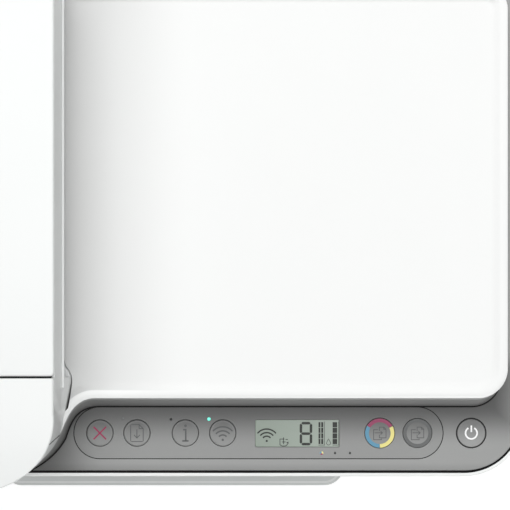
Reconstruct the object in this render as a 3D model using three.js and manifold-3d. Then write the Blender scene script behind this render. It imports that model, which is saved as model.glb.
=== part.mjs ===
// All-in-one inkjet printer with a flat-bed scanner and a document feeder on the lid.
// Millimetres, +Z up, +X to the right and +Y to the rear. The origin lies on the ground
// under the middle of the object, so the whole body is X -214..214, Y -166..166, Z 0..200.
import * as THREE from 'three';
import { mergeVertices } from 'three/addons/utils/BufferGeometryUtils.js';
import Module from 'manifold-3d';

const wasm = await Module();
wasm.setup();

// ---- driving dimensions ----
const gap = 0.3;
const wall = 3;
const halfWidth = 214;
const bodyFront = -146;
const bodyRear = 160;
const frontRadius = 36.7;
const rearRadius = 24;
const housingLow = 6;
const rimTop = 138;
const deckTop = 142;
const deckThick = 3;
const deckInset = 3.6;
const scannerLow = 120;
const scannerRear = 142;

const trayFront = -166;
const trayHalf = 112;
const trayLow = 52;
const trayTop = 60;
const trayRear = -40;
const extender = { half: 89.6, rear: -64, floor: 2 };
const guideHalf = 109;
const groove = { half: 116, z0: 73, z1: 81 };

const lidLow = 142.8;
const lidTop = 165;
const lidRight = 197.8;
const lidFront = -96;
const lidRear = 138;
const lidPlateTop = 150;
const lidFlare = 6.6;
const lidSkin = 4.6;
const lidCorner = 17;
const lidAxis = { y: 147, z: 160 };
// The bend of the lid's front edge at its foot and at its top: control points of two curves.
const lidBend = {
  foot: [[-78, -142.2], [-66, -136], [-60.5, -127.5], [-57, -120.6], [-53, -107],
    [-51, -102.6], [-37.4, -102.6]],
  top: [[-70, -134], [-65, -129], [-61.5, -123.5], [-58.2, -117.7], [-54.2, -112.5],
    [-52.5, -96], [-37.4, -96]],
};
const hingePin = 3;
const lugWidth = 10;
const lugLeft = -188;
const lugRight = 160;
const pad = { x0: -122, x1: 184, y0: -79, y1: 131, top: 147 };

const feederLeft = -206;
const feederRight = -55.5;
const feederFront = -144.4;
const feederLow = 150.3;
const feederTop = 200;
const noseBack = -104.8;
const noseReach = 46.8;
const coverFront = -80.6;
const feederCorner = 36;
const coverLow = 196;
const coverFloor = 3;
const documentSlot = { y0: -84, y1: 132, z0: 166.6, z1: 176 };
const glassStrip = { x0: -144, x1: -128, y0: -78, y1: 130 };
const pickShaft = { x: -95, z: 181 };
const driveShaft = { x: -136, z: 166 };
const feederShaft = { y0: -88, y1: 132, radius: 3, tyre: 24 };

const glass = { x0: -146, x1: 186, y0: -80, y1: 132, thick: 2, ledge: 6 };
const pill = { x0: -53.3, x1: 164.6, y: -119.5, r: 15.5, thick: 1.1 };
const screen = { x0: 53.6, x1: 103.4, y0: -128, y1: -111.7 };
const buttonRow = -119.6;
const buttons = [
  { name: 'button_cancel', x: -37.7, r: 8.07, colour: 0xdcdedd },
  { name: 'button_resume', x: -15.9, r: 8.07, colour: 0xdcdedd },
  { name: 'button_info', x: 12.6, r: 8.07, colour: 0xdcdedd },
  { name: 'button_wireless', x: 34.6, r: 8.07, colour: 0xdcdedd },
  { name: 'button_colour_copy', x: 127, r: 8.8, colour: 0xdcdedd },
  { name: 'button_mono_copy', x: 149.2, r: 8.6, colour: 0xdcdedd },
  { name: 'button_power', x: 180.9, r: 8.8, colour: 0x8c8e8e },
];

const flangeReach = 1.6;
const keyDepth = 5;
const keyRise = 0.4;

const inlet = { x0: -196, x1: -168, z0: 22, z1: 44 };
const port = { x0: 150, x1: 168, z0: 24, z1: 40 };
const frontMouth = { half: 124, z0: 50, z1: 132 };
const rearMouth = { half: 124, z0: 62 };
const door = { half: 123.6, z0: 88, z1: 131.6 };
const rearTray = { half: 128, y0: 161, z0: 58.5, axisY: 163.6, axisZ: 60.5 };

const gearModule = 1.2;
const gearTeeth = 20;
const pinionTeeth = 10;
const gearLeft = -206;
const gearRight = -201;
const feedAxis = { y: 18, z: 58 };
const outputAxis = { y: -30, z: 58 };
const idlerAxis = { y: -6, z: 58 };
const motorAxis = { y: 9, z: 58 + 9 * Math.sqrt(3) };
const pinchAxis = { y: 18, z: 68.8 };
const pickAxis = { y: 132, z: 75.5 };
const carriageAxis = { y: 10, z: 100 };
const belt = { half: 180, z: 106, y0: 22, y1: 27, outer: 7.5, inner: 6.3 };
const sidePlate = { inner: 198, outer: 200 };
const frameLow = 12;
const frameTop = 118;
const carriageBody = { x0: 125, x1: 185, y0: -55, y1: 5, z0: 68, z1: 113 };
const bayFront = -53;
const cartridgeWidth = 23.9;
const cartridgeLeft = { black: 129.3, colour: 156.8 };

// ---- solids from three.js geometry ----
function solidOf(geometry) {
  const bare = geometry.clone();
  bare.deleteAttribute('normal');
  bare.deleteAttribute('uv');
  const merged = mergeVertices(bare, 1e-5);
  return new wasm.Manifold(new wasm.Mesh({
    numProp: 3,
    vertProperties: new Float32Array(merged.attributes.position.array),
    triVerts: new Uint32Array(merged.index.array),
  }));
}

function geometryOf(solid) {
  const mesh = solid.getMesh();
  const geometry = new THREE.BufferGeometry();
  geometry.setAttribute('position', new THREE.BufferAttribute(mesh.vertProperties, 3));
  geometry.setIndex(new THREE.BufferAttribute(mesh.triVerts, 1));
  return geometry;
}

function box(x0, x1, y0, y1, z0, z1) {
  const geometry = new THREE.BoxGeometry(x1 - x0, y1 - y0, z1 - z0);
  geometry.translate((x0 + x1) / 2, (y0 + y1) / 2, (z0 + z1) / 2);
  return solidOf(geometry);
}

function joined(...solids) {
  return solids.reduce((whole, next) => whole.add(next));
}

function cut(solid, ...tools) {
  return tools.reduce((whole, tool) => whole.subtract(tool), solid);
}

// A shape drawn in X and Y, standing from z0 to z1.
function prismZ(shape, z0, z1, curveSegments = 6) {
  const geometry = new THREE.ExtrudeGeometry(shape, {
    depth: z1 - z0, bevelEnabled: false, curveSegments,
  });
  geometry.translate(0, 0, z0);
  return solidOf(geometry);
}

// A shape drawn in Y and Z, reaching from x0 to x1.
function prismX(shape, x0, x1, curveSegments = 6) {
  const geometry = new THREE.ExtrudeGeometry(shape, {
    depth: x1 - x0, bevelEnabled: false, curveSegments,
  });
  geometry.applyMatrix4(new THREE.Matrix4().set(0, 0, 1, x0, 1, 0, 0, 0, 0, 1, 0, 0, 0, 0, 0, 1));
  return solidOf(geometry);
}

// A shape drawn in X and Z, reaching from y0 to y1.
function prismY(shape, y0, y1, curveSegments = 6) {
  const geometry = new THREE.ExtrudeGeometry(shape, {
    depth: y1 - y0, bevelEnabled: false, curveSegments,
  });
  geometry.applyMatrix4(new THREE.Matrix4().set(1, 0, 0, 0, 0, 0, -1, y1, 0, 1, 0, 0, 0, 0, 0, 1));
  return solidOf(geometry);
}

// Round rods: along X through (y, z), along Y through (x, z), along Z through (x, y).
function rodX(x0, x1, y, z, radius, sides = 16) {
  const geometry = new THREE.CylinderGeometry(radius, radius, x1 - x0, sides);
  geometry.rotateZ(-Math.PI / 2);
  geometry.translate((x0 + x1) / 2, y, z);
  return solidOf(geometry);
}

function rodY(y0, y1, x, z, radius, sides = 16) {
  const geometry = new THREE.CylinderGeometry(radius, radius, y1 - y0, sides);
  geometry.translate(x, (y0 + y1) / 2, z);
  return solidOf(geometry);
}

function rodZ(z0, z1, x, y, radius, sides = 20) {
  const geometry = new THREE.CylinderGeometry(radius, radius, z1 - z0, sides);
  geometry.rotateX(Math.PI / 2);
  geometry.translate(x, y, (z0 + z1) / 2);
  return solidOf(geometry);
}

// A shape that spreads from its high outline at z1 to its low outline at z0.
function flared(lowShape, highShape, z0, z1, curveSegments = 6) {
  const geometry = new THREE.ExtrudeGeometry(highShape, {
    depth: z1 - z0, bevelEnabled: false, curveSegments,
  });
  const high = highShape.getPoints(curveSegments);
  const low = lowShape.getPoints(curveSegments);
  const place = geometry.attributes.position;
  for (let i = 0; i < place.count; i += 1) {
    if (place.getZ(i) < (z1 - z0) / 2) {
      const here = new THREE.Vector2(place.getX(i), place.getY(i));
      const match = high.findIndex((point) => point.distanceTo(here) < 1e-4);
      place.setXY(i, low[match].x, low[match].y);
    }
  }
  geometry.translate(0, 0, z0);
  return solidOf(geometry);
}

function polygon(points) {
  return new THREE.Shape(points.map(([u, v]) => new THREE.Vector2(u, v)));
}

// A rectangle with one radius at its two low-v corners and one at its two high-v corners.
function roundedRect(u0, u1, v0, v1, lowRadius, highRadius = lowRadius) {
  const shape = new THREE.Shape();
  const quarter = Math.PI / 2;
  shape.absarc(u0 + lowRadius, v0 + lowRadius, lowRadius, 2 * quarter, 3 * quarter);
  shape.absarc(u1 - lowRadius, v0 + lowRadius, lowRadius, 3 * quarter, 4 * quarter);
  shape.absarc(u1 - highRadius, v1 - highRadius, highRadius, 0, quarter);
  shape.absarc(u0 + highRadius, v1 - highRadius, highRadius, quarter, 2 * quarter);
  shape.closePath();
  return shape;
}

// The plan of the printer body, drawn in by an inset.
function bodyOutline(inset) {
  return roundedRect(
    -halfWidth + inset, halfWidth - inset, bodyFront + inset, bodyRear - inset,
    frontRadius - inset, rearRadius - inset,
  );
}

// The plan of the document feeder: a straight right wall that turns into an elliptic nose.
function feederOutline(offset, rear = lidRear) {
  const shape = new THREE.Shape();
  const corner = feederCorner;
  const middle = feederRight - noseReach;
  const front = feederFront - offset;
  shape.moveTo(feederLeft - offset, rear + offset);
  shape.lineTo(feederLeft - offset, feederFront + corner);
  shape.absarc(feederLeft + corner, feederFront + corner, corner + offset, Math.PI, 1.5 * Math.PI);
  shape.lineTo(middle, front);
  shape.absellipse(middle, noseBack, noseReach + offset, noseBack - front, 1.5 * Math.PI, 2 * Math.PI);
  shape.lineTo(feederRight + offset, rear + offset);
  shape.closePath();
  return shape;
}

// ---- printer body ----
function baseHousing() {
  const shell = cut(
    prismZ(bodyOutline(0), housingLow, rimTop, 8),
    prismZ(bodyOutline(wall), housingLow - 1, rimTop + 1, 8),
  );
  const frontOpening = box(-frontMouth.half, frontMouth.half, bodyFront - 1, bodyFront + 10,
    frontMouth.z0, frontMouth.z1);
  const rearOpening = box(-rearMouth.half, rearMouth.half, bodyRear - 10, bodyRear + 1,
    rearMouth.z0, rimTop + 1);
  const hingeHoles = rodX(-door.half - 3, door.half + 3, bodyFront + 1.5, door.z0 + 1.5, 1.3, 10);
  const inletHole = box(inlet.x0, inlet.x1, bodyRear - 10, bodyRear + 1, inlet.z0, inlet.z1);
  const dataHole = box(port.x0, port.x1, bodyRear - 10, bodyRear + 1, port.z0, port.z1);
  return cut(shell, frontOpening, rearOpening, hingeHoles, inletHole, dataHole);
}

function bottomPlate() {
  return prismZ(bodyOutline(wall + gap), 5, 9, 8);
}

function foot(x, y) {
  return rodZ(0, 4.7, x, y, 9, 14);
}

function scannerBase() {
  const block = prismZ(bodyOutline(deckInset), scannerLow, deckTop, 8);
  const underPanel = box(-halfWidth + 8, halfWidth - 8, bodyFront + 10, glass.y0 - 12,
    scannerLow - 1, deckTop - deckThick);
  const well = box(glass.x0 + glass.ledge, glass.x1 - glass.ledge, glass.y0 + glass.ledge,
    glass.y1 - glass.ledge, scannerLow + 2, deckTop + 1);
  const glassRecess = box(glass.x0, glass.x1, glass.y0, glass.y1,
    deckTop - glass.thick - gap, deckTop + 1);
  const rearNotch = box(-126, 126, scannerRear, bodyRear, scannerLow - 1, deckTop + 1);
  const sidePocketLeft = box(-halfWidth + 8, glass.x0 - 4, glass.y0, glass.y1,
    scannerLow - 1, deckTop - deckThick);
  const sidePocketRight = box(glass.x1 + 4, halfWidth - 8, glass.y0, glass.y1,
    scannerLow - 1, deckTop - deckThick);
  const frontCorners = prismZ(bodyOutline(deckInset + wall), scannerLow - 1, deckTop - deckThick, 8);
  const pillRecess = prismZ(
    roundedRect(pill.x0, pill.x1, pill.y - pill.r, pill.y + pill.r, pill.r - 0.01),
    deckTop - pill.thick - gap, deckTop + 1, 10,
  );
  const displayHole = box(screen.x0 - 2, screen.x1 + 2, screen.y0 - 2, screen.y1 + 2,
    deckTop - 6, deckTop);
  const holes = buttons.map((b) => rodZ(deckTop - 6, deckTop + 1, b.x, buttonRow, b.r + gap));
  return cut(block, underPanel.intersect(frontCorners), well, glassRecess, rearNotch,
    sidePocketLeft, sidePocketRight, pillRecess, displayHole, ...holes);
}

function scanGlass() {
  return box(glass.x0 + gap, glass.x1 - gap, glass.y0 + gap, glass.y1 - gap,
    deckTop - glass.thick, deckTop);
}

function panelFace() {
  const face = prismZ(
    roundedRect(pill.x0 + gap, pill.x1 - gap, pill.y - pill.r + gap, pill.y + pill.r - gap,
      pill.r - gap - 0.01),
    deckTop - pill.thick, deckTop, 10,
  );
  const window = box(screen.x0, screen.x1, screen.y0, screen.y1, 100, 150);
  const inPill = buttons.filter((b) => b.x < pill.x1);
  const holes = inPill.map((b) => rodZ(100, 150, b.x, buttonRow, b.r + gap));
  return cut(face, window, ...holes);
}

// The display stands on its own edge flange under the face plate.
function display() {
  const face = box(screen.x0 + gap, screen.x1 - gap, screen.y0 + gap, screen.y1 - gap,
    deckTop - 3, deckTop - 0.3);
  const flange = box(screen.x0 - 1.5, screen.x1 + 1.5, screen.y0 - 1.5, screen.y1 + 1.5,
    deckTop - 4, deckTop - pill.thick - gap);
  return joined(face, flange);
}

function button(b) {
  const low = deckTop - keyDepth;
  const cap = rodZ(low, deckTop + keyRise, b.x, buttonRow, b.r);
  const flange = rodZ(low, deckTop - deckThick - gap, b.x, buttonRow, b.r + flangeReach);
  return joined(cap, flange);
}

// ---- lid and document feeder ----
// The lip bends forward in an S from the lid's front edge to the nose of the feeder.
function lidOutline(grow) {
  const front = lidFront - grow;
  const radius = lidCorner;
  const shape = new THREE.Shape();
  const part = grow / lidFlare;
  const [start, ...bend] = lidBend.top.map(([x, y], i) => {
    const [footX, footY] = lidBend.foot[i];
    return [x + (footX - x) * part, y + (footY - y) * part];
  });
  shape.moveTo(feederRight - 30, lidRear);
  shape.lineTo(feederRight - 30, start[1]);
  shape.lineTo(...start);
  shape.bezierCurveTo(...bend[0], ...bend[1], ...bend[2]);
  shape.bezierCurveTo(...bend[3], ...bend[4], ...bend[5]);
  shape.lineTo(lidRight - radius, front);
  shape.absarc(lidRight - radius, front + radius, radius, -Math.PI / 2, 0);
  shape.lineTo(lidRight, lidRear);
  shape.closePath();
  return shape;
}

function hingeLug(x) {
  const right = x + lugWidth;
  const arm = box(x, right, lidRear + gap, lidAxis.y + 5, lidAxis.z - 5.5, lidTop);
  const stem = box(x, right, lidRear + gap, lidRear + 5, lidLow + 1, lidTop);
  const tie = box(x, right, lidRear - 2, lidRear + 2, lidLow + 1, lidPlateTop);
  const bore = rodX(x - 1, right + 1, lidAxis.y, lidAxis.z, hingePin + gap, 12);
  return cut(joined(arm, stem, tie), bore);
}

// The lid is hollow from below, with a rim round its dished top, and thin under the feeder.
function lidShell() {
  const raised = flared(lidOutline(lidFlare), lidOutline(0), lidLow, lidTop);
  const feederRoom = prismZ(feederOutline(gap, lidRear + 1), lidPlateTop, lidTop + 1);
  const underFeeder = prismZ(feederOutline(0), lidLow, lidPlateTop);
  const inner = lidCorner - wall;
  const dish = prismZ(
    roundedRect(feederRight - 2, lidRight - wall, lidFront + wall, lidRear - wall, inner, 2),
    lidTop - 1.6, lidTop + 1,
  );
  const hollow = prismZ(
    roundedRect(feederRight + 4, lidRight - wall, lidFront + wall, lidRear - wall, inner, 2),
    lidLow - 1, lidTop - lidSkin,
  );
  const roomTop = pad.top + gap;
  const padRoom = box(pad.x0 - 3, feederRight + 5, pad.y0 - 5, lidRear - wall, lidLow - 1, roomTop);
  const sideRoom = box(feederLeft + wall, glassStrip.x0 - 6, -100, lidRear - wall,
    lidLow - 1, roomTop);
  const paperSlot = box(glassStrip.x0, glassStrip.x1, glassStrip.y0, glassStrip.y1,
    lidLow - 1, lidPlateTop + 1);
  const shell = cut(joined(raised, underFeeder), feederRoom, dish, hollow, padRoom, sideRoom,
    paperSlot);
  const ribs = [0, 60, 120].map(
    (x) => box(x, x + 2, lidFront + 1, lidRear - 1, roomTop, lidTop - lidSkin + 0.6),
  );
  return joined(shell, ...ribs, hingeLug(lugLeft), hingeLug(lugRight));
}

function lidPad() {
  return box(pad.x0, pad.x1, pad.y0, pad.y1, deckTop + gap, pad.top);
}

// Each hinge is a foot on the scanner housing, an upright and a pin through the lid's lug.
function lidHinge(lug) {
  const x = lug + lugWidth + 1;
  const plate = box(x, x + 12, lidAxis.y - 5, lidAxis.y + 8, deckTop + gap, deckTop + 3);
  const upright = box(x, x + 5, lidAxis.y - 4, lidAxis.y + 4, deckTop + gap, lidAxis.z + 4);
  const pin = rodX(x - 7, x + 4, lidAxis.y, lidAxis.z, hingePin, 12);
  return joined(plate, upright, pin);
}

function adfHousing() {
  const block = prismZ(feederOutline(0), feederLow, feederTop);
  const inside = prismZ(feederOutline(-wall), feederLow + wall, coverLow - coverFloor);
  const coverRoom = box(feederLeft - 5, feederRight + 5, coverFront - 2 * gap, lidRear + 5,
    coverLow - gap, feederTop + 1);
  const top = box(feederLeft + wall, feederRight - wall, coverFront + 3, lidRear - wall,
    coverLow - 10, feederTop);
  const sideSlot = box(feederRight - 5, feederRight + 5, documentSlot.y0, documentSlot.y1,
    documentSlot.z0, documentSlot.z1);
  const glassSlot = box(glassStrip.x0, glassStrip.x1, glassStrip.y0, glassStrip.y1,
    feederLow - 1, feederLow + wall + 1);
  return cut(block, inside, coverRoom, top, sideSlot, glassSlot);
}

function adfCover() {
  return prismZ(roundedRect(feederLeft + 1, feederRight, coverFront, lidRear, 2), coverLow,
    feederTop, 4);
}

function adfPickRoller() {
  const { x, z } = pickShaft;
  const shaft = rodY(feederShaft.y0, feederShaft.y1, x, z, feederShaft.radius, 10);
  const tyres = [-20, 30].map((y) => rodY(y, y + feederShaft.tyre, x, z, 11, 16));
  return joined(shaft, ...tyres);
}

function adfDriveRoller() {
  const { x, z } = driveShaft;
  const shaft = rodY(feederShaft.y0, feederShaft.y1, x, z, feederShaft.radius, 10);
  const tyres = [-50, 0, 60].map((y) => rodY(y, y + feederShaft.tyre, x, z, 9, 14));
  return joined(shaft, ...tyres);
}

function adfSeparatorPad() {
  return prismY(polygon([[-116, 156], [-76, 156], [-76, 166], [-84, 169], [-106, 169],
    [-116, 165]]), -20, 54);
}

// ---- front door and paper trays ----
function frontDoor() {
  const panel = box(-door.half, door.half, bodyFront, bodyFront + wall, door.z0, door.z1);
  const grip = rodX(-30, 30, bodyFront - 3, door.z1 - 4, 5, 12);
  const pins = rodX(-door.half - 2.5, door.half + 2.5, bodyFront + 1.5, door.z0 + 1.5, 1, 8);
  return joined(cut(panel, grip), pins);
}

function outputTray() {
  const { half, floor } = extender;
  const plan = roundedRect(-trayHalf, trayHalf, trayFront, trayRear, 10, 2);
  const sleeve = box(-half - 0.4, half + 0.4, trayFront - 1, trayRear - 10,
    trayLow + floor, trayTop - floor);
  return cut(prismZ(plan, trayLow, trayTop, 6), sleeve);
}

function trayExtender() {
  const { half, rear, floor } = extender;
  const plan = roundedRect(-half, half, trayFront + 0.5, rear, 4, 2);
  const fingerHole = box(-14, 14, trayFront + 5, trayFront + 11, trayLow, trayTop);
  return cut(prismZ(plan, trayLow + floor + gap, trayTop - floor - gap, 4), fingerHole);
}

function inputTray() {
  const back = box(-rearTray.half, rearTray.half, rearTray.y0, -trayFront, rearTray.z0, deckTop);
  const ledge = box(-125.7, 125.7, scannerRear + gap, rearTray.y0 + 1, deckTop - 2.7, deckTop);
  const pocket = box(-50, 50, rearTray.y0 + 1.3, -trayFront - 1, 63, deckTop + 1);
  const channel = box(-groove.half, groove.half, rearTray.y0 - 1, rearTray.y0 + 1,
    groove.z0, groove.z1);
  return cut(joined(back, ledge), pocket, channel);
}

function inputExtension() {
  const plate = box(-49.7, 49.7, rearTray.y0 + 1.6, -trayFront - 1 - gap, 66, deckTop - gap);
  const fingerHole = box(-12, 12, 150, 170, 128, 136);
  return cut(plate, fingerHole);
}

function paperGuide(side) {
  const fin = prismX(polygon([[rearTray.y0 - gap, 70], [rearTray.y0 - gap, 132], [154, 132],
    [147, 118], [147, 70]]), side * guideHalf - 1.2, side * guideHalf + 1.2);
  const runner = box(side * guideHalf - 2.5, side * guideHalf + 2.5, rearTray.y0 - 2,
    rearTray.y0 + 0.7, groove.z0 + 0.4, groove.z1 - 0.4);
  return joined(fin, runner);
}

// ---- sockets in the rear wall ----
function powerInlet() {
  const shell = box(inlet.x0 + gap, inlet.x1 - gap, bodyRear - 20, bodyRear,
    inlet.z0 + gap, inlet.z1 - gap);
  const socketPlan = roundedRect(inlet.x0 + 4, inlet.x1 - 4, inlet.z0 + 5, inlet.z1 - 5, 1, 4);
  const socket = prismY(socketPlan, bodyRear - 14, bodyRear + 1, 3);
  return cut(shell, socket);
}

function dataPort() {
  const shell = box(port.x0 + gap, port.x1 - gap, bodyRear - 14, bodyRear,
    port.z0 + gap, port.z1 - gap);
  const socket = box(port.x0 + 4, port.x1 - 4, bodyRear - 11, bodyRear + 1, port.z0 + 3, port.z1 - 3);
  return cut(shell, socket);
}

// ---- scanner ----
function scanBar() {
  const body = box(-138, -118, -70, 122, 123, 138);
  return cut(body, box(-140, -100, 14, 22, 120, 132.5));
}

function scanRod() {
  return rodX(-139.5, 179.5, 18, 128, 3, 12);
}

// ---- frame, carriage and its drive ----
function chassisFrame() {
  const back = box(-sidePlate.outer, sidePlate.outer, 40, 42, 74, frameTop);
  const left = box(-sidePlate.outer, -sidePlate.inner, -62, 145, frameLow, frameTop);
  const right = box(sidePlate.inner, sidePlate.outer, -62, 145, frameLow, frameTop);
  const wide = sidePlate.outer + 5;
  const holes = [
    rodX(-wide, wide, carriageAxis.y, carriageAxis.z, 4.1, 12),
    rodX(-wide, wide, feedAxis.y, feedAxis.z, 3.8, 10),
    rodX(-wide, wide, outputAxis.y, outputAxis.z, 3.3, 10),
    rodX(-wide, wide, pickAxis.y, pickAxis.z, 3.3, 10),
    rodX(-wide, 0, idlerAxis.y, idlerAxis.z, 3.3, 10),
    rodX(-wide, 0, motorAxis.y, motorAxis.z, 3.3, 10),
  ];
  const motorWindow = box(-187, -173, 35, 45, 92, frameTop);
  const supplyRoom = box(-201, -190, 60, 145, 10, 54);
  const tabs = [-150, 148].map((x) => cut(box(x, x + 2, 12, 41, 64, 80),
    rodX(x - 1, x + 3, pinchAxis.y, pinchAxis.z, 2.8, 10)));
  return joined(cut(joined(back, left, right), ...holes, motorWindow, supplyRoom), ...tabs);
}

function carriageRod() {
  return rodX(-197, 197, carriageAxis.y, carriageAxis.z, 4, 16);
}

function carriage() {
  const { x0, x1, y0, y1, z0, z1 } = carriageBody;
  const body = joined(box(x0, x1, y0, y1, z0, z1), box(x0, x1, y1 - 1, y1 + 14, 90, z1));
  const [blackBay, colourBay] = [cartridgeLeft.black, cartridgeLeft.colour].map(
    (x) => box(x - gap, x + cartridgeWidth + gap, bayFront, 0, z0 + 2, z1 + 7),
  );
  const nozzleRoom = [141, 169].map((x) => box(x - 8, x + 8, -50, -20, 60, 72));
  const bearing = rodX(x0 - 5, x1 + 5, carriageAxis.y, carriageAxis.z, 4.4, 16);
  const clip = box(150, 160, y1 + 13, belt.y0 - gap, 100, z1);
  return joined(cut(body, blackBay, colourBay, bearing, ...nozzleRoom), clip);
}

function cartridge(x0) {
  const front = bayFront + gap;
  const body = box(x0, x0 + cartridgeWidth, front, -gap, carriageBody.z0 + 2 + gap, 108);
  const nozzle = box(x0 + 4.5, x0 + 19.5, -49, -21, 66, 72);
  const grip = box(x0 + 3, x0 + 21, front, -49, 107, 112);
  return joined(body, nozzle, grip);
}

function stadium(radius) {
  const half = belt.half;
  const shape = new THREE.Shape();
  shape.absarc(half, belt.z, radius, -Math.PI / 2, Math.PI / 2);
  shape.absarc(-half, belt.z, radius, Math.PI / 2, 1.5 * Math.PI);
  shape.closePath();
  return shape;
}

function carriageBelt() {
  return cut(prismY(stadium(belt.outer), belt.y0, belt.y1, 10),
    prismY(stadium(belt.inner), belt.y0 - 1, belt.y1 + 1, 10));
}

function beltPulley(x) {
  const rim = rodY(belt.y0 - 0.3, belt.y1 + 0.3, x, belt.z, belt.inner - 0.3, 16);
  const axle = rodY(belt.y0 - 0.3, 35, x, belt.z, 2, 10);
  return joined(rim, axle);
}

function carriageMotor() {
  const can = rodY(35.5, 39.7, -180, belt.z, 4, 16);
  const body = rodY(39, 66, -180, belt.z, 6.5, 16);
  return joined(can, body);
}

// ---- rollers and gears ----
// A spur gear with straight-sided teeth, thinned for backlash. The angle is that of one
// tooth, from +Y towards +Z.
function spurGear(axis, teeth, firstTooth) {
  const pitch = (gearModule * teeth) / 2;
  const step = (2 * Math.PI) / teeth;
  const corners = [
    [pitch - 1.5, -0.29], [pitch + 1.05, -0.08], [pitch + 1.05, 0.08], [pitch - 1.5, 0.29],
  ];
  const points = [];
  for (let tooth = 0; tooth < teeth; tooth += 1) {
    for (const [radius, part] of corners) {
      const angle = THREE.MathUtils.degToRad(firstTooth) + step * (tooth + part);
      points.push([axis.y + radius * Math.cos(angle), axis.z + radius * Math.sin(angle)]);
    }
  }
  return prismX(polygon(points), gearLeft, gearRight);
}

function tyredRoller(x0, x1, axis, shaftRadius, tyreRadius, tyreStarts, tyreLength, sides = 14) {
  const shaft = rodX(x0, x1, axis.y, axis.z, shaftRadius, 10);
  const tyres = tyreStarts.map((x) => rodX(x, x + tyreLength, axis.y, axis.z, tyreRadius, sides));
  return joined(shaft, ...tyres);
}

function feedRoller() {
  return tyredRoller(gearRight + gap, 197, feedAxis, 3.5, 6.5, [-100, -50, 10, 60], 36);
}

function outputRoller() {
  return tyredRoller(gearRight + gap, 197, outputAxis, 3, 6, [-98, -56, -14, 28, 70], 14);
}

function pinchRoller() {
  return tyredRoller(-155, 155, pinchAxis, 2.5, 4, [-98, -48, 12, 62], 32, 12);
}

function pickRoller() {
  return tyredRoller(-203, 203, pickAxis, 3, 12, [-16], 32, 24);
}

function idlerGear() {
  const stub = rodX(gearRight - 1, -196, idlerAxis.y, idlerAxis.z, 3, 12);
  return joined(spurGear(idlerAxis, gearTeeth, 9), stub);
}

function motorPinion() {
  const stub = rodX(gearRight - 1, -192, motorAxis.y, motorAxis.z, 3, 12);
  return joined(spurGear(motorAxis, pinionTeeth, 18), stub);
}

function feedMotor() {
  return rodX(-191.7, -168, motorAxis.y, motorAxis.z, 14, 20);
}

// ---- paper path and electronics ----
function platen() {
  const deck = box(-112, 112, -22, 9.5, 54, 62);
  const ribs = [-96, -64, -32, 0, 32, 64, 96].map((x) => box(x - 1, x + 1, -21, 8.5, 61, 64));
  return joined(deck, ...ribs);
}

function paperRamp() {
  return prismX(polygon([[28, 56], [120, 56], [156.5, 62.5], [156.5, 66], [120, 59.5],
    [28, 59.5]]), -trayHalf, trayHalf);
}

function serviceStation() {
  const sled = box(118, 192, -50, 10, 20, 53);
  const caps = [133, 161].map((x) => cut(box(x, x + 16, -18, 6, 52, 65.4),
    box(x + 2, x + 14, -16, 4, 60, 66)));
  return joined(sled, ...caps);
}

function mainBoard() {
  return box(112, 194, 62, 142, 20, 22);
}

function powerSupply() {
  return box(-197, -122, 66, 138, 12, 50);
}

// ---- the assembly ----
const paint = {
  white: [0xf4f6f5, 0.35, 0],
  paleGrey: [0xb0b2b1, 0.45, 0],
  deckGrey: [0x9c9e9d, 0.4, 0],
  faceGrey: [0xd2d5d4, 0.3, 0],
  darkGrey: [0x3b3d3d, 0.6, 0],
  black: [0x161717, 0.6, 0],
  rubber: [0x242424, 0.9, 0],
  glass: [0xcfe0dc, 0.05, 0],
  screen: [0x8f9b91, 0.2, 0],
  steel: [0xb9bcbd, 0.35, 1],
  nylon: [0xe9e6dc, 0.5, 0],
  board: [0x1f5b38, 0.5, 0],
};

const printer = new THREE.Group();

function add(name, solid, [color, roughness, metalness]) {
  const material = new THREE.MeshStandardMaterial({ color, roughness, metalness });
  const mesh = new THREE.Mesh(geometryOf(solid), material);
  mesh.name = name;
  printer.add(mesh);
}

add('base_housing', baseHousing(), paint.white);
add('bottom_plate', bottomPlate(), paint.darkGrey);
for (const [place, x, y] of [['front_left', -185, -118], ['front_right', 185, -118],
  ['rear_left', -185, 128], ['rear_right', 185, 128]]) {
  add(`foot_${place}`, foot(x, y), paint.rubber);
}
add('scanner_base', scannerBase(), paint.deckGrey);
add('scan_glass', scanGlass(), paint.glass);
add('panel_face', panelFace(), paint.faceGrey);
add('display', display(), paint.screen);
for (const b of buttons) {
  add(b.name, button(b), [b.colour, 0.35, 0]);
}
add('lid_shell', lidShell(), paint.white);
add('lid_pad', lidPad(), paint.white);
add('lid_hinge_left', lidHinge(lugLeft), paint.darkGrey);
add('lid_hinge_right', lidHinge(lugRight), paint.darkGrey);
add('adf_housing', adfHousing(), paint.white);
add('adf_cover', adfCover(), paint.white);
add('adf_pick_roller', adfPickRoller(), paint.rubber);
add('adf_drive_roller', adfDriveRoller(), paint.rubber);
add('adf_separator_pad', adfSeparatorPad(), paint.darkGrey);
add('front_door', frontDoor(), paint.paleGrey);
add('output_tray', outputTray(), paint.paleGrey);
add('tray_extender', trayExtender(), paint.paleGrey);
add('input_tray', inputTray(), paint.white);
add('input_extension', inputExtension(), paint.paleGrey);
add('paper_guide_left', paperGuide(-1), paint.paleGrey);
add('paper_guide_right', paperGuide(1), paint.paleGrey);
add('power_inlet', powerInlet(), paint.black);
add('data_port', dataPort(), paint.steel);
add('scan_bar', scanBar(), paint.black);
add('scan_rod', scanRod(), paint.steel);
add('chassis_frame', chassisFrame(), paint.steel);
add('carriage_rod', carriageRod(), paint.steel);
add('carriage', carriage(), paint.darkGrey);
add('cartridge_black', cartridge(cartridgeLeft.black), paint.black);
add('cartridge_colour', cartridge(cartridgeLeft.colour), paint.black);
add('carriage_belt', carriageBelt(), paint.rubber);
add('carriage_motor', carriageMotor(), paint.steel);
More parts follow.
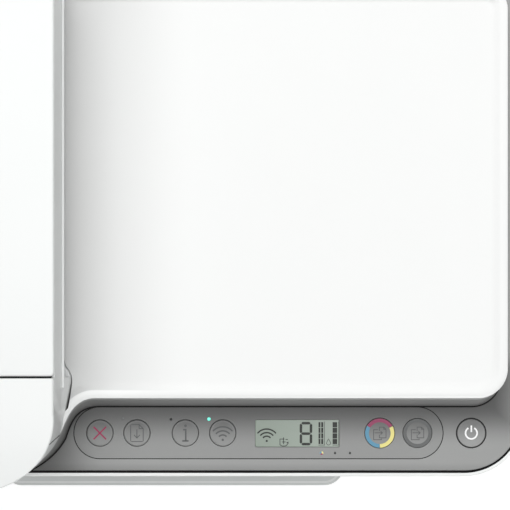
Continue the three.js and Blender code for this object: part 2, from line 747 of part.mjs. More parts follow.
add('motor_pulley', beltPulley(-belt.half), paint.nylon);
add('idler_pulley', beltPulley(belt.half), paint.nylon);
add('feed_roller', feedRoller(), paint.rubber);
add('feed_gear', spurGear(feedAxis, gearTeeth, 0), paint.nylon);
add('feed_motor', feedMotor(), paint.steel);
add('motor_pinion', motorPinion(), paint.nylon);
add('output_roller', outputRoller(), paint.rubber);
add('output_gear', spurGear(outputAxis, gearTeeth, 0), paint.nylon);
add('idler_gear', idlerGear(), paint.nylon);
add('pick_roller', pickRoller(), paint.rubber);
add('pinch_roller', pinchRoller(), paint.steel);
add('platen', platen(), paint.darkGrey);
add('paper_ramp', paperRamp(), paint.darkGrey);
add('service_station', serviceStation(), paint.darkGrey);
add('main_board', mainBoard(), paint.board);
add('power_supply', powerSupply(), paint.black);

export default printer;
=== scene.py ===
import math
import bmesh
import bpy
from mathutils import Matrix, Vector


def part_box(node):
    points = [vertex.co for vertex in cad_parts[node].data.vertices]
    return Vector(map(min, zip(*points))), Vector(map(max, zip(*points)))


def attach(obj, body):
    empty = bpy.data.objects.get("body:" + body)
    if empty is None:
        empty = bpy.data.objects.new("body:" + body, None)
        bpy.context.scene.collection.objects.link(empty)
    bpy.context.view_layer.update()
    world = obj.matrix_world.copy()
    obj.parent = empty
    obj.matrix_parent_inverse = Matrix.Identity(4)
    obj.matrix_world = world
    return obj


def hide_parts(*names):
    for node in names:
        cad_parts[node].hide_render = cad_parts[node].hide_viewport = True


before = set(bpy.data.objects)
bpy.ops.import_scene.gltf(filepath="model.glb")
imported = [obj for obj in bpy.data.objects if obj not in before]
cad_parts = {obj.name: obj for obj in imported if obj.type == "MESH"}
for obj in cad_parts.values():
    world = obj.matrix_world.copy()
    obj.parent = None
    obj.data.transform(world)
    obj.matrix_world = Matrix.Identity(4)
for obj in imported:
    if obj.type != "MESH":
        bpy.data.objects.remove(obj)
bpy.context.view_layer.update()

# An all-in-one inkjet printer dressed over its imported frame.
# Shapes are drawn in millimetres, and become metres when a piece is made.
print("frame loaded:", len(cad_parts), "nodes")


# outlines and closed solids
def box(node):
    low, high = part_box(node)
    return [1000 * v for v in low], [1000 * v for v in high]


def arc(centre, radius, start, end, steps=12):
    points = []
    for i in range(steps + 1):
        angle = math.radians(start + (end - start) * i / steps)
        points.append((centre[0] + radius * math.cos(angle), centre[1] + radius * math.sin(angle)))
    return points


def bezier(a, b, c, d, steps=16):
    points = []
    for i in range(steps + 1):
        t = i / steps
        weights = ((1 - t) ** 3, 3 * t * (1 - t) ** 2, 3 * t * t * (1 - t), t ** 3)
        points.append(tuple(sum(w * p[k] for w, p in zip(weights, (a, b, c, d))) for k in (0, 1)))
    return points


def tidyOutline(points, closest=0.02):
    kept = []
    for p in points:
        if not kept or math.dist(p, kept[-1]) > closest:
            kept.append(p)
    if math.dist(kept[0], kept[-1]) <= closest:
        kept.pop()
    return kept


def roundedRect(x0, x1, y0, y1, front, rear=None, steps=12):
    rear = front if rear is None else rear
    return tidyOutline(
        arc((x0 + front, y0 + front), front, 180, 270, steps)
        + arc((x1 - front, y0 + front), front, 270, 360, steps)
        + arc((x1 - rear, y1 - rear), rear, 0, 90, steps)
        + arc((x0 + rear, y1 - rear), rear, 90, 180, steps)
    )


def offsetOutline(points, inward):
    # a counter-clockwise outline, moved along the mean normal of its neighbours
    moved = []
    count = len(points)
    for i in range(count):
        a, p, b = points[i - 1], points[i], points[(i + 1) % count]
        before = (p[0] - a[0], p[1] - a[1])
        after = (b[0] - p[0], b[1] - p[1])
        n1 = (-before[1] / math.hypot(*before), before[0] / math.hypot(*before))
        n2 = (-after[1] / math.hypot(*after), after[0] / math.hypot(*after))
        bend = max(1 + n1[0] * n2[0] + n1[1] * n2[1], 0.5)
        moved.append((p[0] + inward * (n1[0] + n2[0]) / bend, p[1] + inward * (n1[1] + n2[1]) / bend))
    return moved


def loft(rings, bm=None):
    # rings of equal length, lowest first, closed by a cap at each end
    bm = bm or bmesh.new()
    levels = [[bm.verts.new(p) for p in ring] for ring in rings]
    bm.faces.new(list(reversed(levels[0])))
    bm.faces.new(levels[-1])
    for low, high in zip(levels, levels[1:]):
        for i in range(len(low)):
            j = (i + 1) % len(low)
            bm.faces.new((low[i], low[j], high[j], high[i]))
    return bm


def prism(outline, z0, z1, bm=None):
    return loft([[(x, y, z) for x, y in outline] for z in (z0, z1)], bm)


def block(x0, x1, y0, y1, z0, z1, bm=None):
    return prism([(x0, y0), (x1, y0), (x1, y1), (x0, y1)], z0, z1, bm)


def turned(profile, centre, steps=64, bm=None):
    # a profile of (radius, z) pairs from the axis back to the axis
    bm = bm or bmesh.new()
    rings = []
    for radius, z in profile:
        if radius < 1e-6:
            rings.append([bm.verts.new((centre[0], centre[1], z))])
        else:
            rings.append([bm.verts.new((x, y, z)) for x, y in arc(centre, radius, 0, 360, steps)[:-1]])
    for low, high in zip(rings, rings[1:]):
        for i in range(steps):
            j = (i + 1) % steps
            corners = [low[i % len(low)], low[j % len(low)], high[j % len(high)], high[i % len(high)]]
            unique = [v for k, v in enumerate(corners) if v not in corners[:k]]
            bm.faces.new(unique)
    bmesh.ops.recalc_face_normals(bm, faces=bm.faces)
    return bm


def ribbon(path, width, z0, z1, bm=None, closed=False):
    # a flat strip of even width along a path
    bm = bm or bmesh.new()
    count = len(path)
    sections = []
    for i in range(count):
        a = path[i - 1] if closed or i else path[i]
        b = path[(i + 1) % count] if closed or i < count - 1 else path[i]
        p = path[i]
        before = (p[0] - a[0], p[1] - a[1])
        after = (b[0] - p[0], b[1] - p[1])
        runs = [d for d in (before, after) if math.hypot(*d) > 1e-9]
        sides = [(-d[1] / math.hypot(*d), d[0] / math.hypot(*d)) for d in runs]
        n = [sum(s[k] for s in sides) / len(sides) for k in (0, 1)]
        reach = width / 2 / max(n[0] ** 2 + n[1] ** 2, 0.3)
        left = (p[0] + n[0] * reach, p[1] + n[1] * reach)
        right = (p[0] - n[0] * reach, p[1] - n[1] * reach)
        corners = ((left, z0), (right, z0), (right, z1), (left, z1))
        sections.append([bm.verts.new((*side, z)) for side, z in corners])
    spans = count if closed else count - 1
    for i in range(spans):
        one, two = sections[i], sections[(i + 1) % count]
        for k in range(4):
            bm.faces.new((one[k], two[k], two[(k + 1) % 4], one[(k + 1) % 4]))
    if not closed:
        bm.faces.new(sections[0])
        bm.faces.new(list(reversed(sections[-1])))
    bmesh.ops.recalc_face_normals(bm, faces=bm.faces)
    return bm


def meshObject(name, bm):
    bmesh.ops.scale(bm, vec=(0.001, 0.001, 0.001), verts=bm.verts)
    mesh = bpy.data.meshes.new(name)
    bm.to_mesh(mesh)
    bm.free()
    piece = bpy.data.objects.new(name, mesh)
    bpy.context.scene.collection.objects.link(piece)
    return piece


def carve(piece, cutters):
    # cuts every cutter away and keeps the plain mesh
    tools = [meshObject("cutter", bm) for bm in cutters]
    for tool in tools:
        cut = piece.modifiers.new("cut", "BOOLEAN")
        cut.operation = "DIFFERENCE"
        cut.solver = "EXACT"
        cut.object = tool
    bpy.context.view_layer.update()
    evaluated = piece.evaluated_get(bpy.context.evaluated_depsgraph_get())
    mesh = bpy.data.meshes.new_from_object(evaluated)
    piece.modifiers.clear()
    piece.data = mesh
    for tool in tools:
        bpy.data.objects.remove(tool)


def soften(piece, width, segments=3, angle=35):
    # rounds the edges that are sharper than the angle, and smooths the rest
    bevel = piece.modifiers.new("edge", "BEVEL")
    bevel.width = width * 0.001
    bevel.segments = segments
    bevel.limit_method = "ANGLE"
    bevel.angle_limit = math.radians(angle)
    bevel.harden_normals = True
    bevel.use_clamp_overlap = True
    for face in piece.data.polygons:
        face.use_smooth = True


def finishPiece(piece, body, material, replaced=()):
    piece.data.materials.clear()
    piece.data.materials.append(material)
    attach(piece, body)
    if replaced:
        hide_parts(*replaced)
    return piece


# finishes, built from noise and from ramps of painted shade in the object's own coordinates
def linear(rgb):
    return [(c / 255 / 12.92 if c <= 10 else ((c / 255 + 0.055) / 1.055) ** 2.4) for c in rgb]


def startMaterial(name):
    material = bpy.data.materials.new(name)
    material.use_nodes = True
    nodes = material.node_tree.nodes
    shader = nodes["Principled BSDF"]
    place = nodes.new("ShaderNodeTexCoord").outputs["Object"]
    return material, nodes, material.node_tree.links, shader, place


def noise(nodes, links, place, scale, detail=3):
    texture = nodes.new("ShaderNodeTexNoise")
    texture.inputs["Scale"].default_value = scale
    texture.inputs["Detail"].default_value = detail
    links.new(place, texture.inputs["Vector"])
    return texture.outputs["Fac"]


def spread(nodes, links, value, low, high):
    ramp = nodes.new("ShaderNodeMapRange")
    ramp.inputs["From Min"].default_value = 0.3
    ramp.inputs["From Max"].default_value = 0.7
    ramp.inputs["To Min"].default_value = low
    ramp.inputs["To Max"].default_value = high
    links.new(value, ramp.inputs["Value"])
    return ramp.outputs["Result"]


def blendColours(nodes, links, factor, first, second):
    mix = nodes.new("ShaderNodeMix")
    mix.data_type = "RGBA"
    mix.inputs["A"].default_value = (*linear(first), 1)
    mix.inputs["B"].default_value = (*linear(second), 1)
    links.new(factor, mix.inputs["Factor"])
    return mix.outputs["Result"]


def ramped(nodes, links, place, axis, start, end, tone):
    # the tone at the start, in millimetres along an axis, and 1 from the end on
    axes = nodes.new("ShaderNodeSeparateXYZ")
    links.new(place, axes.inputs["Vector"])
    ramp = nodes.new("ShaderNodeMapRange")
    ramp.interpolation_type = "SMOOTHSTEP"
    ramp.inputs["From Min"].default_value = start * 0.001
    ramp.inputs["From Max"].default_value = end * 0.001
    ramp.inputs["To Min"].default_value = tone
    ramp.inputs["To Max"].default_value = 1
    links.new(axes.outputs[axis], ramp.inputs["Value"])
    return ramp.outputs["Result"]


def brightest(nodes, links, place, shadeRamps):
    # the largest of a painted shade's ramps
    value = ramped(nodes, links, place, *shadeRamps[0])
    for other in shadeRamps[1:]:
        larger = nodes.new("ShaderNodeMath")
        larger.operation = "MAXIMUM"
        links.new(value, larger.inputs[0])
        links.new(ramped(nodes, links, place, *other), larger.inputs[1])
        value = larger.outputs["Value"]
    return value


def moulded(name, rgb, roughness=0.4, grain=2600, depth=0.05, mottle=3, coat=0.0, paintedShades=()):
    # moulded plastic: a faint mottle, a fine spark-eroded grain and uneven gloss, with painted shade and
    # painted highlight from the ramps given
    material, nodes, links, shader, place = startMaterial(name)
    cloud = noise(nodes, links, place, 22)
    darker = [max(c - mottle, 0) for c in rgb]
    lighter = [min(c + mottle / 2, 255) for c in rgb]
    colour = blendColours(nodes, links, cloud, darker, lighter)
    # each set of ramps darkens or lightens the colour as painted shade or painted highlight
    for shadeRamps in paintedShades:
        tone = nodes.new("ShaderNodeHueSaturation")
        links.new(brightest(nodes, links, place, shadeRamps), tone.inputs["Value"])
        links.new(colour, tone.inputs["Color"])
        colour = tone.outputs["Color"]
    links.new(colour, shader.inputs["Base Color"])
    smear = noise(nodes, links, place, 40, 2)
    links.new(spread(nodes, links, smear, roughness * 0.96, roughness * 1.05), shader.inputs["Roughness"])
    fine = noise(nodes, links, place, grain, 2)
    bump = nodes.new("ShaderNodeBump")
    bump.inputs["Strength"].default_value = depth
    bump.inputs["Distance"].default_value = 0.0001
    links.new(fine, bump.inputs["Height"])
    links.new(bump.outputs["Normal"], shader.inputs["Normal"])
    shader.inputs["Coat Weight"].default_value = coat
    shader.inputs["Coat Roughness"].default_value = 0.12
    return material


def brushed(name, rgb, along=(6, 900, 900), roughness=0.3):
    # drawn or rolled metal, streaked along one axis
    material, nodes, links, shader, place = startMaterial(name)
    stretch = nodes.new("ShaderNodeMapping")
    stretch.inputs["Scale"].default_value = along
    links.new(place, stretch.inputs["Vector"])
    streak = noise(nodes, links, stretch.outputs["Vector"], 1, 4)
    darker = [c * 0.86 for c in rgb]
    links.new(blendColours(nodes, links, streak, darker, rgb), shader.inputs["Base Color"])
    links.new(spread(nodes, links, streak, roughness * 0.8, roughness * 1.25), shader.inputs["Roughness"])
    shader.inputs["Metallic"].default_value = 1
    return material


# painted shade and painted highlight in the finishes, in place of the shadows that the lid and feeder cast:
# each ramp is an axis, a start, an end and the tone at the start a painted shade takes the brightest of its
# ramps, and the painted shades of one finish multiply
# painted shadow of the lid's front wall on the key strip, darker towards the rear, and painted shadow of the
# feeder's nose at its left end
stripPaintedShadow = (
    (("Y", -103, -128, 0.24), ("Y", -93, -70, 0), ("X", 180, 225, 0)),
    (("X", -70, -35, 0.45), ("Y", -93, -70, 0)),
)
# the deck adds a painted highlight on its rounded edge and painted shade just behind its front edge
deckPaintedShadeAndHighlight = stripPaintedShadow + (
    (("Z", 141.3, 141.85, 1.4),),
    (("Y", -141, -136.5, 0.84),),
)
# a painted shadow line just under the top edge of the white rim
rimPaintedShadow = ((("Z", 136.9, 137.8, 0.5), ("Z", 136, 133, 0)),)
# painted shade on the lower skirt of the lid, painted shadow of the feeder on the dished top at the left, and
# painted shade towards the front under the nose
lidPaintedShade = (
    (("Z", 156, 164.2, 0.46),),
    (("X", -60, 20, 0.68), ("Z", 164.3, 164.9, 0)),
    (("Y", -124, -108, 0.62),),
)
# painted shade on the feeder's right wall, behind its nose
feederPaintedShade = ((("X", -56.1, -56.9, 0.87), ("Y", -95, -103, 0)),)
white = (232, 234, 233)
finish = {
    "lid": moulded("lid_gloss_painted_shade", (233, 234, 233), 0.3, depth=0.03, mottle=1, coat=0.25, paintedShades=lidPaintedShade),
    "white": moulded("white_gloss", white, 0.3, depth=0.03, mottle=1, coat=0.25),
    "feeder": moulded("feeder_gloss_painted_shade", white, 0.3, depth=0.03, mottle=1, coat=0.25, paintedShades=feederPaintedShade),
    "rim": moulded("rim_white_painted_shadow", (250, 252, 251), 0.34, depth=0.04, coat=0.15, paintedShades=rimPaintedShadow),
    # gap: the black of strips laid in gaps and seams as painted shadow, and of the ring round the power key
    "gap": moulded("gap_black", (7, 7, 7), 0.9, depth=0.02, mottle=2),
    "deck": moulded("deck_grey", (151, 152, 151), 0.42, depth=0.08, mottle=2, paintedShades=deckPaintedShadeAndHighlight),
    "face": moulded("face_grey", (141, 142, 141), 0.34, depth=0.05, mottle=2, coat=0.1, paintedShades=stripPaintedShadow),
    "key": moulded("button_grey", (137, 138, 137), 0.34, depth=0.04, mottle=2, coat=0.1, paintedShades=stripPaintedShadow),
    "powerKey": moulded("power_grey_painted_shadow", (150, 151, 150), 0.36, depth=0.05, mottle=2, paintedShades=stripPaintedShadow),
    "tray": moulded("tray_grey", (214, 217, 216), 0.45, depth=0.1, mottle=3),
    "dark": moulded("dark_plastic", (54, 56, 56), 0.55, depth=0.12, mottle=4),
    "black": moulded("black_plastic", (26, 27, 27), 0.5, depth=0.12, mottle=3),
    "rubber": moulded("rubber", (34, 34, 33), 0.85, 1200, 0.35, mottle=5),
    "nylon": moulded("nylon", (226, 222, 208), 0.45, depth=0.06, mottle=4),
    "foil": moulded("pad_white", (236, 237, 235), 0.6, 700, 0.12, mottle=4),
    "steel": brushed("sheet_steel", (186, 189, 190)),
    "rod": brushed("ground_rod", (205, 208, 210), (4, 1400, 1400), 0.16),
    "screw": brushed("screw_zinc", (170, 172, 170), (700, 700, 700), 0.32),
}
print("materials ready")


# the camera looks straight down on the front right part
view = {"x": 0.0536, "y": -0.0148, "height": 0.865, "lens": 86.69, "sensor": 36}


def makeCamera():
    data = bpy.data.cameras.new("camera")
    data.lens = view["lens"]
    data.sensor_width = view["sensor"]
    data.clip_start = 0.01
    data.clip_end = 20
    camera = bpy.data.objects.new("camera", data)
    camera.location = (view["x"], view["y"], view["height"])
    bpy.context.scene.collection.objects.link(camera)
    bpy.context.scene.camera = camera


studio = {
    "floor": (253, 253, 253), "floorHalf": 4000, "glow": 0.3, "world": 0.05,
    "rear": {"place": (0, 2, 2), "aim": (0, 2, 0), "size": (5, 3.2), "power": 104},
    "front": {"place": (0.6, -1.6, 2), "aim": (0, 0, 0.1), "size": (1.2, 1.2), "power": 18},
}


def makeFloor():
    half = studio["floorHalf"]
    floor = meshObject("floor", block(-half, half, -half, half, -10, 0))
    material = moulded("floor_paper", studio["floor"], 0.8, 300, 0.02, mottle=1)
    shader = material.node_tree.nodes["Principled BSDF"]
    shader.inputs["Emission Color"].default_value = (1, 1, 1, 1)
    shader.inputs["Emission Strength"].default_value = studio["glow"]
    floor.data.materials.append(material)


def softBox(name, place, aim, size, power):
    data = bpy.data.lights.new(name, "AREA")
    data.shape = "RECTANGLE"
    data.size, data.size_y = size
    data.energy = power
    lamp = bpy.data.objects.new(name, data)
    lamp.location = place
    direction = [a - p for a, p in zip(aim, place)]
    tilt = math.atan2(math.hypot(direction[0], direction[1]), -direction[2])
    lamp.rotation_euler = (tilt, 0, math.atan2(direction[1], direction[0]) - math.pi / 2)
    lamp.visible_camera = False
    bpy.context.scene.collection.objects.link(lamp)


def lightStudio():
    world = bpy.data.worlds.new("studio")
    world.use_nodes = True
    background = world.node_tree.nodes["Background"]
    background.inputs["Color"].default_value = (1, 1, 1, 1)
    background.inputs["Strength"].default_value = studio["world"]
    bpy.context.scene.world = world
    softBox("rear_light", **studio["rear"])
    softBox("front_fill", **studio["front"])
    bpy.context.scene.view_settings.view_transform = "Standard"


makeCamera()
makeFloor()
lightStudio()
print("camera, floor and light ready")


# the white body under the deck
low, high = box("base_housing")
body = {
    "x0": low[0], "x1": high[0], "y0": low[1], "y1": high[1], "low": low[2], "rim": high[2],
    "frontRadius": 36.7, "rearRadius": 24, "wall": 3, "rimRound": 1.2,
    "mouth": (-124, 124, 50, 132), "rearSlotLow": 62, "ease": 0.4,
    "vents": 5, "ventPitch": 6, "ventHeight": 2.5, "ventLow": 24, "ventRun": (60, 120),
}
deckTop = box("scanner_base")[1][2]


def bodyOutline(inset, steps=24):
    return roundedRect(body["x0"] + inset, body["x1"] - inset, body["y0"] + inset, body["y1"] - inset,
                       body["frontRadius"] - inset, body["rearRadius"] - inset, steps)


def roundedEdge(z, radius, outward, steps=5):
    # (inset, height) pairs that turn a wall over into a top at z
    turn = [math.radians(90 * i / steps) for i in range(steps + 1)]
    return [(outward + radius * (1 - math.cos(a)), z - radius + radius * math.sin(a)) for a in turn]


def makeHousing():
    rings = [(0.9, body["low"]), (0.25, body["low"] + 0.35), (0, body["low"] + 1)]
    rings += [(0, body["low"] + step) for step in (20, 60, 100)]
    rings += roundedEdge(body["rim"], body["rimRound"], 0)
    rings += [(body["wall"] - 0.3, body["rim"]), (body["wall"], body["rim"] - 0.3)]
    rings += [(body["wall"], body["low"] + 4), (body["wall"], body["low"])]
    bm = bmesh.new()
    levels = [[bm.verts.new((x, y, z)) for x, y in bodyOutline(inset)] for inset, z in rings]
    for lower, upper in zip(levels, levels[1:] + levels[:1]):
        for i in range(len(lower)):
            j = (i + 1) % len(lower)
            bm.faces.new((lower[i], lower[j], upper[j], upper[i]))
    bmesh.ops.recalc_face_normals(bm, faces=bm.faces)
    housing = meshObject("housing_shell", bm)
    x0, x1 = body["mouth"][:2]
    holes = [
        uprightHole(roundedRect(*body["mouth"], 2, 2, 5), body["y0"] - 5, body["y0"] + 10),
        block(x0, x1, body["y1"] - 10, body["y1"] + 5, body["rearSlotLow"], body["rim"] + 5),
    ]
    ease = body["ease"]
    for socket in ("power_inlet", "data_port"):
        a, b = box(socket)
        holes.append(block(a[0] - ease, b[0] + ease, 145, 165, a[2] - ease, b[2] + ease))
    for row in range(body["vents"]):  # warm air leaves through slots at the back of the left wall
        z = body["ventLow"] + body["ventPitch"] * row
        holes.append(block(body["x0"] - 5, body["x0"] + 8, *body["ventRun"], z, z + body["ventHeight"]))
    carve(housing, holes)
    soften(housing, 0.35, 2)
    finishPiece(housing, "root", finish["rim"], ["base_housing"])


def uprightHole(outline, y0, y1, bm=None):
    # an outline drawn in X and Z, reaching from y0 to y1
    return loft([[(x, y, z) for x, z in outline] for y in (y1, y0)], bm)


makeHousing()
print("body shell made")


# the grey deck with its sunk strip of keys
deck = {"inset": 0.7, "round": 0.7, "skin": 3, "glassRest": 6, "ease": 0.3, "slot": (-126, 126, 142, 170),
        "boardBay": (-206, 206, -136, -92)}
pill = {"x0": -53.3, "x1": 164.6, "y": -119.5, "r": 15.5, "thick": 1.1, "gap": 0.5}
keyRow = -119.6
keys = {
    "cancel": {"x": -37.7, "r": 7.75}, "resume": {"x": -15.9, "r": 7.75}, "info": {"x": 12.6, "r": 7.75},
    "wireless": {"x": 34.6, "r": 7.75}, "colour_copy": {"x": 127.0, "r": 8.75},
    "mono_copy": {"x": 149.2, "r": 8.5}, "power": {"x": 180.9, "r": 8.35},
}
screen = {"x0": 53.6, "x1": 103.4, "y0": -128.0, "y1": -111.7}
lamps = {"left": (-24.1, -111.0, "off"), "info": (4.1, -111.5, "dark"), "wireless": (26.5, -111.4, "lit")}


def pillOutline(grow):
    r = pill["r"] + grow
    return roundedRect(pill["x0"] - grow, pill["x1"] + grow, pill["y"] - r, pill["y"] + r, r - 0.01, steps=24)


def keyHole(key, z0, z1):
    return prism(arc((key["x"], keyRow), key["r"] + deck["ease"], 0, 360, 64)[:-1], z0, z1)


def screenBlock(grow, z0, z1):
    x0, x1, y0, y1 = (screen[side] for side in ("x0", "x1", "y0", "y1"))
    return block(x0 - grow, x1 + grow, y0 - grow, y1 + grow, z0, z1)


def makeDeck():
    deckLow, deckHigh = box("scanner_base")
    inset = body["x1"] - deckHigh[0] + deck["inset"]
    rings = [(inset, deckLow[2]), (inset, deckTop - 12)] + roundedEdge(deckTop, deck["round"], inset)
    plate = meshObject("scanner_deck", loft([[(x, y, z) for x, y in bodyOutline(i)] for i, z in rings]))
    glassLow, glassHigh = box("scan_glass")
    ease, rest = deck["ease"], deck["glassRest"]
    x0, x1, y0, y1 = glassLow[0] - ease, glassHigh[0] + ease, glassLow[1] - ease, glassHigh[1] + ease
    floor, under, above = deckLow[2] - 5, deckTop - deck["skin"], deckTop + 5
    left, right = deck["boardBay"][:2]
    cutters = [
        block(x0 + rest, x1 - rest, y0 + rest, y1 - rest, deckLow[2] + 2, above),
        block(x0, x1, y0, y1, glassLow[2] - ease, above),
        block(*deck["slot"], floor, above),
        block(*deck["boardBay"], floor, under),
        block(left, x0 - 4, y0, y1, floor, under),
        block(x1 + 4, right, y0, y1, floor, under),
        prism(pillOutline(0), deckTop - pill["thick"] - 0.3, above),
        screenBlock(2, under - 5, deckTop - 0.5),
    ]
    cutters += [keyHole(key, under - 5, above) for key in keys.values()]
    carve(plate, cutters)
    soften(plate, 0.22, 2, 50)
    finishPiece(plate, "root", finish["deck"], ["scanner_base"])


def makeFace():
    face = meshObject("pill_face", prism(pillOutline(-pill["gap"]), deckTop - pill["thick"], deckTop))
    cutters = [prism(roundedRect(screen["x0"], screen["x1"], screen["y0"], screen["y1"], 1.2), 100, 200)]
    cutters += [keyHole(key, 100, 200) for key in keys.values() if key["x"] < pill["x1"]]
    for x, y, state in lamps.values():
        cutters.append(prism(arc((x, y), 1.1 if state == "lit" else 0.8, 0, 360, 20)[:-1], 100, 200))
    carve(face, cutters)
    soften(face, 0.2, 2, 50)
    finishPiece(face, "root", finish["face"], ["panel_face"])


def makeKeys():
    top = deckTop + 0.4
    for name, key in keys.items():
        r = key["r"]
        profile = [(0, top - 5.2), (r + 1.6, top - 5.2), (r + 1.6, deckTop - 3.4), (r, deckTop - 3.4)]
        profile += [(r, top - 0.6), (r - 0.1, top - 0.25), (r - 0.35, top - 0.05), (r - 0.7, top)]
        profile += [(r * 0.75, top - 0.1), (r * 0.4, top - 0.2), (0, top - 0.24)]
        cap = meshObject("key_" + name, turned(profile, (key["x"], keyRow)))
        soften(cap, 0.05, 1, 60)
        colour = finish["powerKey"] if name == "power" else finish["key"]
        finishPiece(cap, name, colour, ["button_" + name])


def paintedGapShadows():
    # a black strip in the gap round the deck and a dark strip in the groove round the pill, both painted
    # shadow
    gapShadow = ribbon(bodyOutline(body["wall"] + 0.2), 2.0, body["rim"] - 0.02, body["rim"] + 0.15, closed=True)
    piece = meshObject("deck_gap_shadow", gapShadow)
    finishPiece(piece, "root", finish["gap"])
    grooveShadow = ribbon(pillOutline(-pill["gap"] / 2), pill["gap"], deckTop - 0.7, deckTop - 0.3, closed=True)
    piece = meshObject("pill_groove_shadow", grooveShadow)
    finishPiece(piece, "root", finish["gap"])


makeDeck()
makeFace()
makeKeys()
paintedGapShadows()
print("control deck made")


# the lid: a dished top inside a lip, and a foot that flares out
lidLow, lidHigh = box("lid_shell")
feederLow, feederHigh = box("adf_housing")
lid = {
    "top": 165, "low": lidLow[2], "right": lidHigh[0], "front": -96.5, "rear": 138, "corner": 17,
    "rearCorner": 12, "flare": 7, "lip": 3.2, "dish": 1.5, "fillet": 6, "skin": 4.6, "wall": 3,
    "lugs": {"left": -188, "right": 160}, "lugWidth": 10, "pinHeight": 160, "pinY": 147, "pinHole": 3.3,
}
feeder = {
    "left": feederLow[0], "right": feederHigh[0], "front": feederLow[1], "rear": feederHigh[1],
    "low": feederLow[2], "top": feederHigh[2], "wall": 3, "corner": 36,
    "noseBack": -104.8, "noseReach": 46.8, "seam": -80.6, "gap": 1.1, "bulge": 4.3, "round": 1,
    "readingSlot": (-144, -128, -78, 130), "exit": (-84, 132, 166.6, 172.8),
    "ledge": (-89.5, 134, 171.4, 173), "ledgeReach": 1.55, "ribs": 5, "ribPitch": 28,
}


# control points of the S at the lid's foot: under the nose, then round to the straight front
footSweep = (
    (-90, -144.6), (-78, -143), (-64, -134), (-58, -122.5), (-54.9, -113.5), (-52.3, -103.6), (-37.4, -103.5),
)
topSweep = ((-58.1, -117.7), (-54.2, -112.5), (-52.5, -96.6), (-37.4, -96.5))


def nosePoint(degrees, inset=0.0):
    f = feeder
    angle = math.radians(degrees)
    return (f["right"] - f["noseReach"] + (f["noseReach"] - inset) * math.cos(angle),
            f["noseBack"] + (f["noseBack"] - f["front"] - inset) * math.sin(angle))


def lidOutline(grow):
    # the front edge bends forward in an S and runs on round the nose of the feeder
    share = grow / lid["flare"]
    top = [nosePoint(-78 + 59 * i / 24, 0.1) for i in range(24)] + bezier(*topSweep, 20)
    foot = bezier(*footSweep[:4], 24)[:-1] + bezier(*footSweep[3:], 20)
    curve = [tuple(t + (f - t) * share for t, f in zip(*pair)) for pair in zip(top, foot)]
    front = lid["front"] - grow
    corner = arc((lid["right"] - lid["corner"], front + lid["corner"]), lid["corner"], 270, 360, 24)
    turn = lid["rearCorner"]
    rear = arc((lid["right"] - turn, lid["rear"] - turn), turn, 0, 90, 10)
    return curve + corner + rear + [(-110, lid["rear"]), (-110, curve[0][1])]


def feederOutline(inset, steps=28):
    f = feeder
    points = arc((f["left"] + f["corner"], f["front"] + f["corner"]), f["corner"] - inset, 180, 270, 18)
    points += [nosePoint(270 + 90 * i / steps, inset) for i in range(1, steps + 1)]
    points += [(f["right"] - inset, y) for y in range(-102, -66, 3)]
    turn = max(2, inset + 0.1)  # the rear corners never turn inside out
    points += arc((f["right"] - turn, f["rear"] - turn), turn - inset, 0, 90, 5)
    points += arc((f["left"] + turn, f["rear"] - turn), turn - inset, 90, 180, 5)
    return tidyOutline(points)


def bulgeAt(y, z):
    # the feeder's wall swells at its foot, beside the step of the lid
    along = 1 - ((y + 86) / 8.5) ** 2 if y > -86 else 1 - (-86 - y) / 22
    down = min(max((174 - z) / 8, 0), 1)
    return feeder["bulge"] * max(along, 0) ** 0.9 * down * down * (3 - 2 * down)


def seatOutline():
    # where the lid gives room to the feeder: a crack that widens beside the swelling
    seat = []
    for x, y in feederOutline(-0.05):
        if x > feeder["right"] - 6 and y > -103.5:
            x += bulgeAt(y, lid["top"]) + 0.3 + 0.9 * min(max((-84 - y) / 14, 0), 1)
        seat.append((x, y))
    return seat


def makeLid():
    top, dish, flare = lid["top"], lid["dish"], lid["flare"]
    outer = [(flare, lid["low"]), (flare - 0.2, lid["low"] + 1.5), (3.9, 151), (1.5, 159), (0.25, 163.5)]
    rings = [[(x, y, z) for x, y in lidOutline(grow)] for grow, z in outer]
    turn = [(0.02, top - 0.4), (0.14, top - 0.12), (0.4, top), (lid["lip"], top)]
    for i in range(1, 9):  # the concave fillet inside the lip
        part = i / 8
        turn.append((lid["lip"] + lid["fillet"] * part, top - dish * (0.5 - 0.5 * math.cos(math.pi * part))))
    edge = lidOutline(0)
    rings += [[(x, y, z) for x, y in offsetOutline(edge, inset)] for inset, z in turn]
    shell = meshObject("lid_top", loft(rings))
    wall = lid["wall"]
    hollow = roundedRect(-51, lid["right"] - wall, lid["front"] + wall, lid["rear"] - wall, 14, 2, 8)
    carve(shell, [prism(hollow, lid["low"] - 5, top - lid["skin"]), prism(seatOutline(), 100, 300)])
    soften(shell, 0.25, 2, 40)
    finishPiece(shell, "lid", finish["lid"], ["lid_shell"])


def makeFeederFloor():
    # the thin left part of the lid that carries the feeder
    plate = meshObject("lid_feeder_floor", prism(feederOutline(0.2), lid["low"], feeder["low"] - 0.3))
    padLow, padHigh = box("lid_pad")
    under, rear = lid["low"] - 5, lid["rear"] - lid["wall"]
    cutters = [
        block(padLow[0] - 3, -40, padLow[1] - 4, rear, under, padHigh[2] + 0.3),
        block(feeder["left"] + 3, -150, -100, rear, under, padHigh[2] + 0.3),
        block(*feeder["readingSlot"], under, feeder["low"] + 5),
    ]
    carve(plate, cutters)
    soften(plate, 0.3, 2, 40)
    finishPiece(plate, "lid", finish["white"])


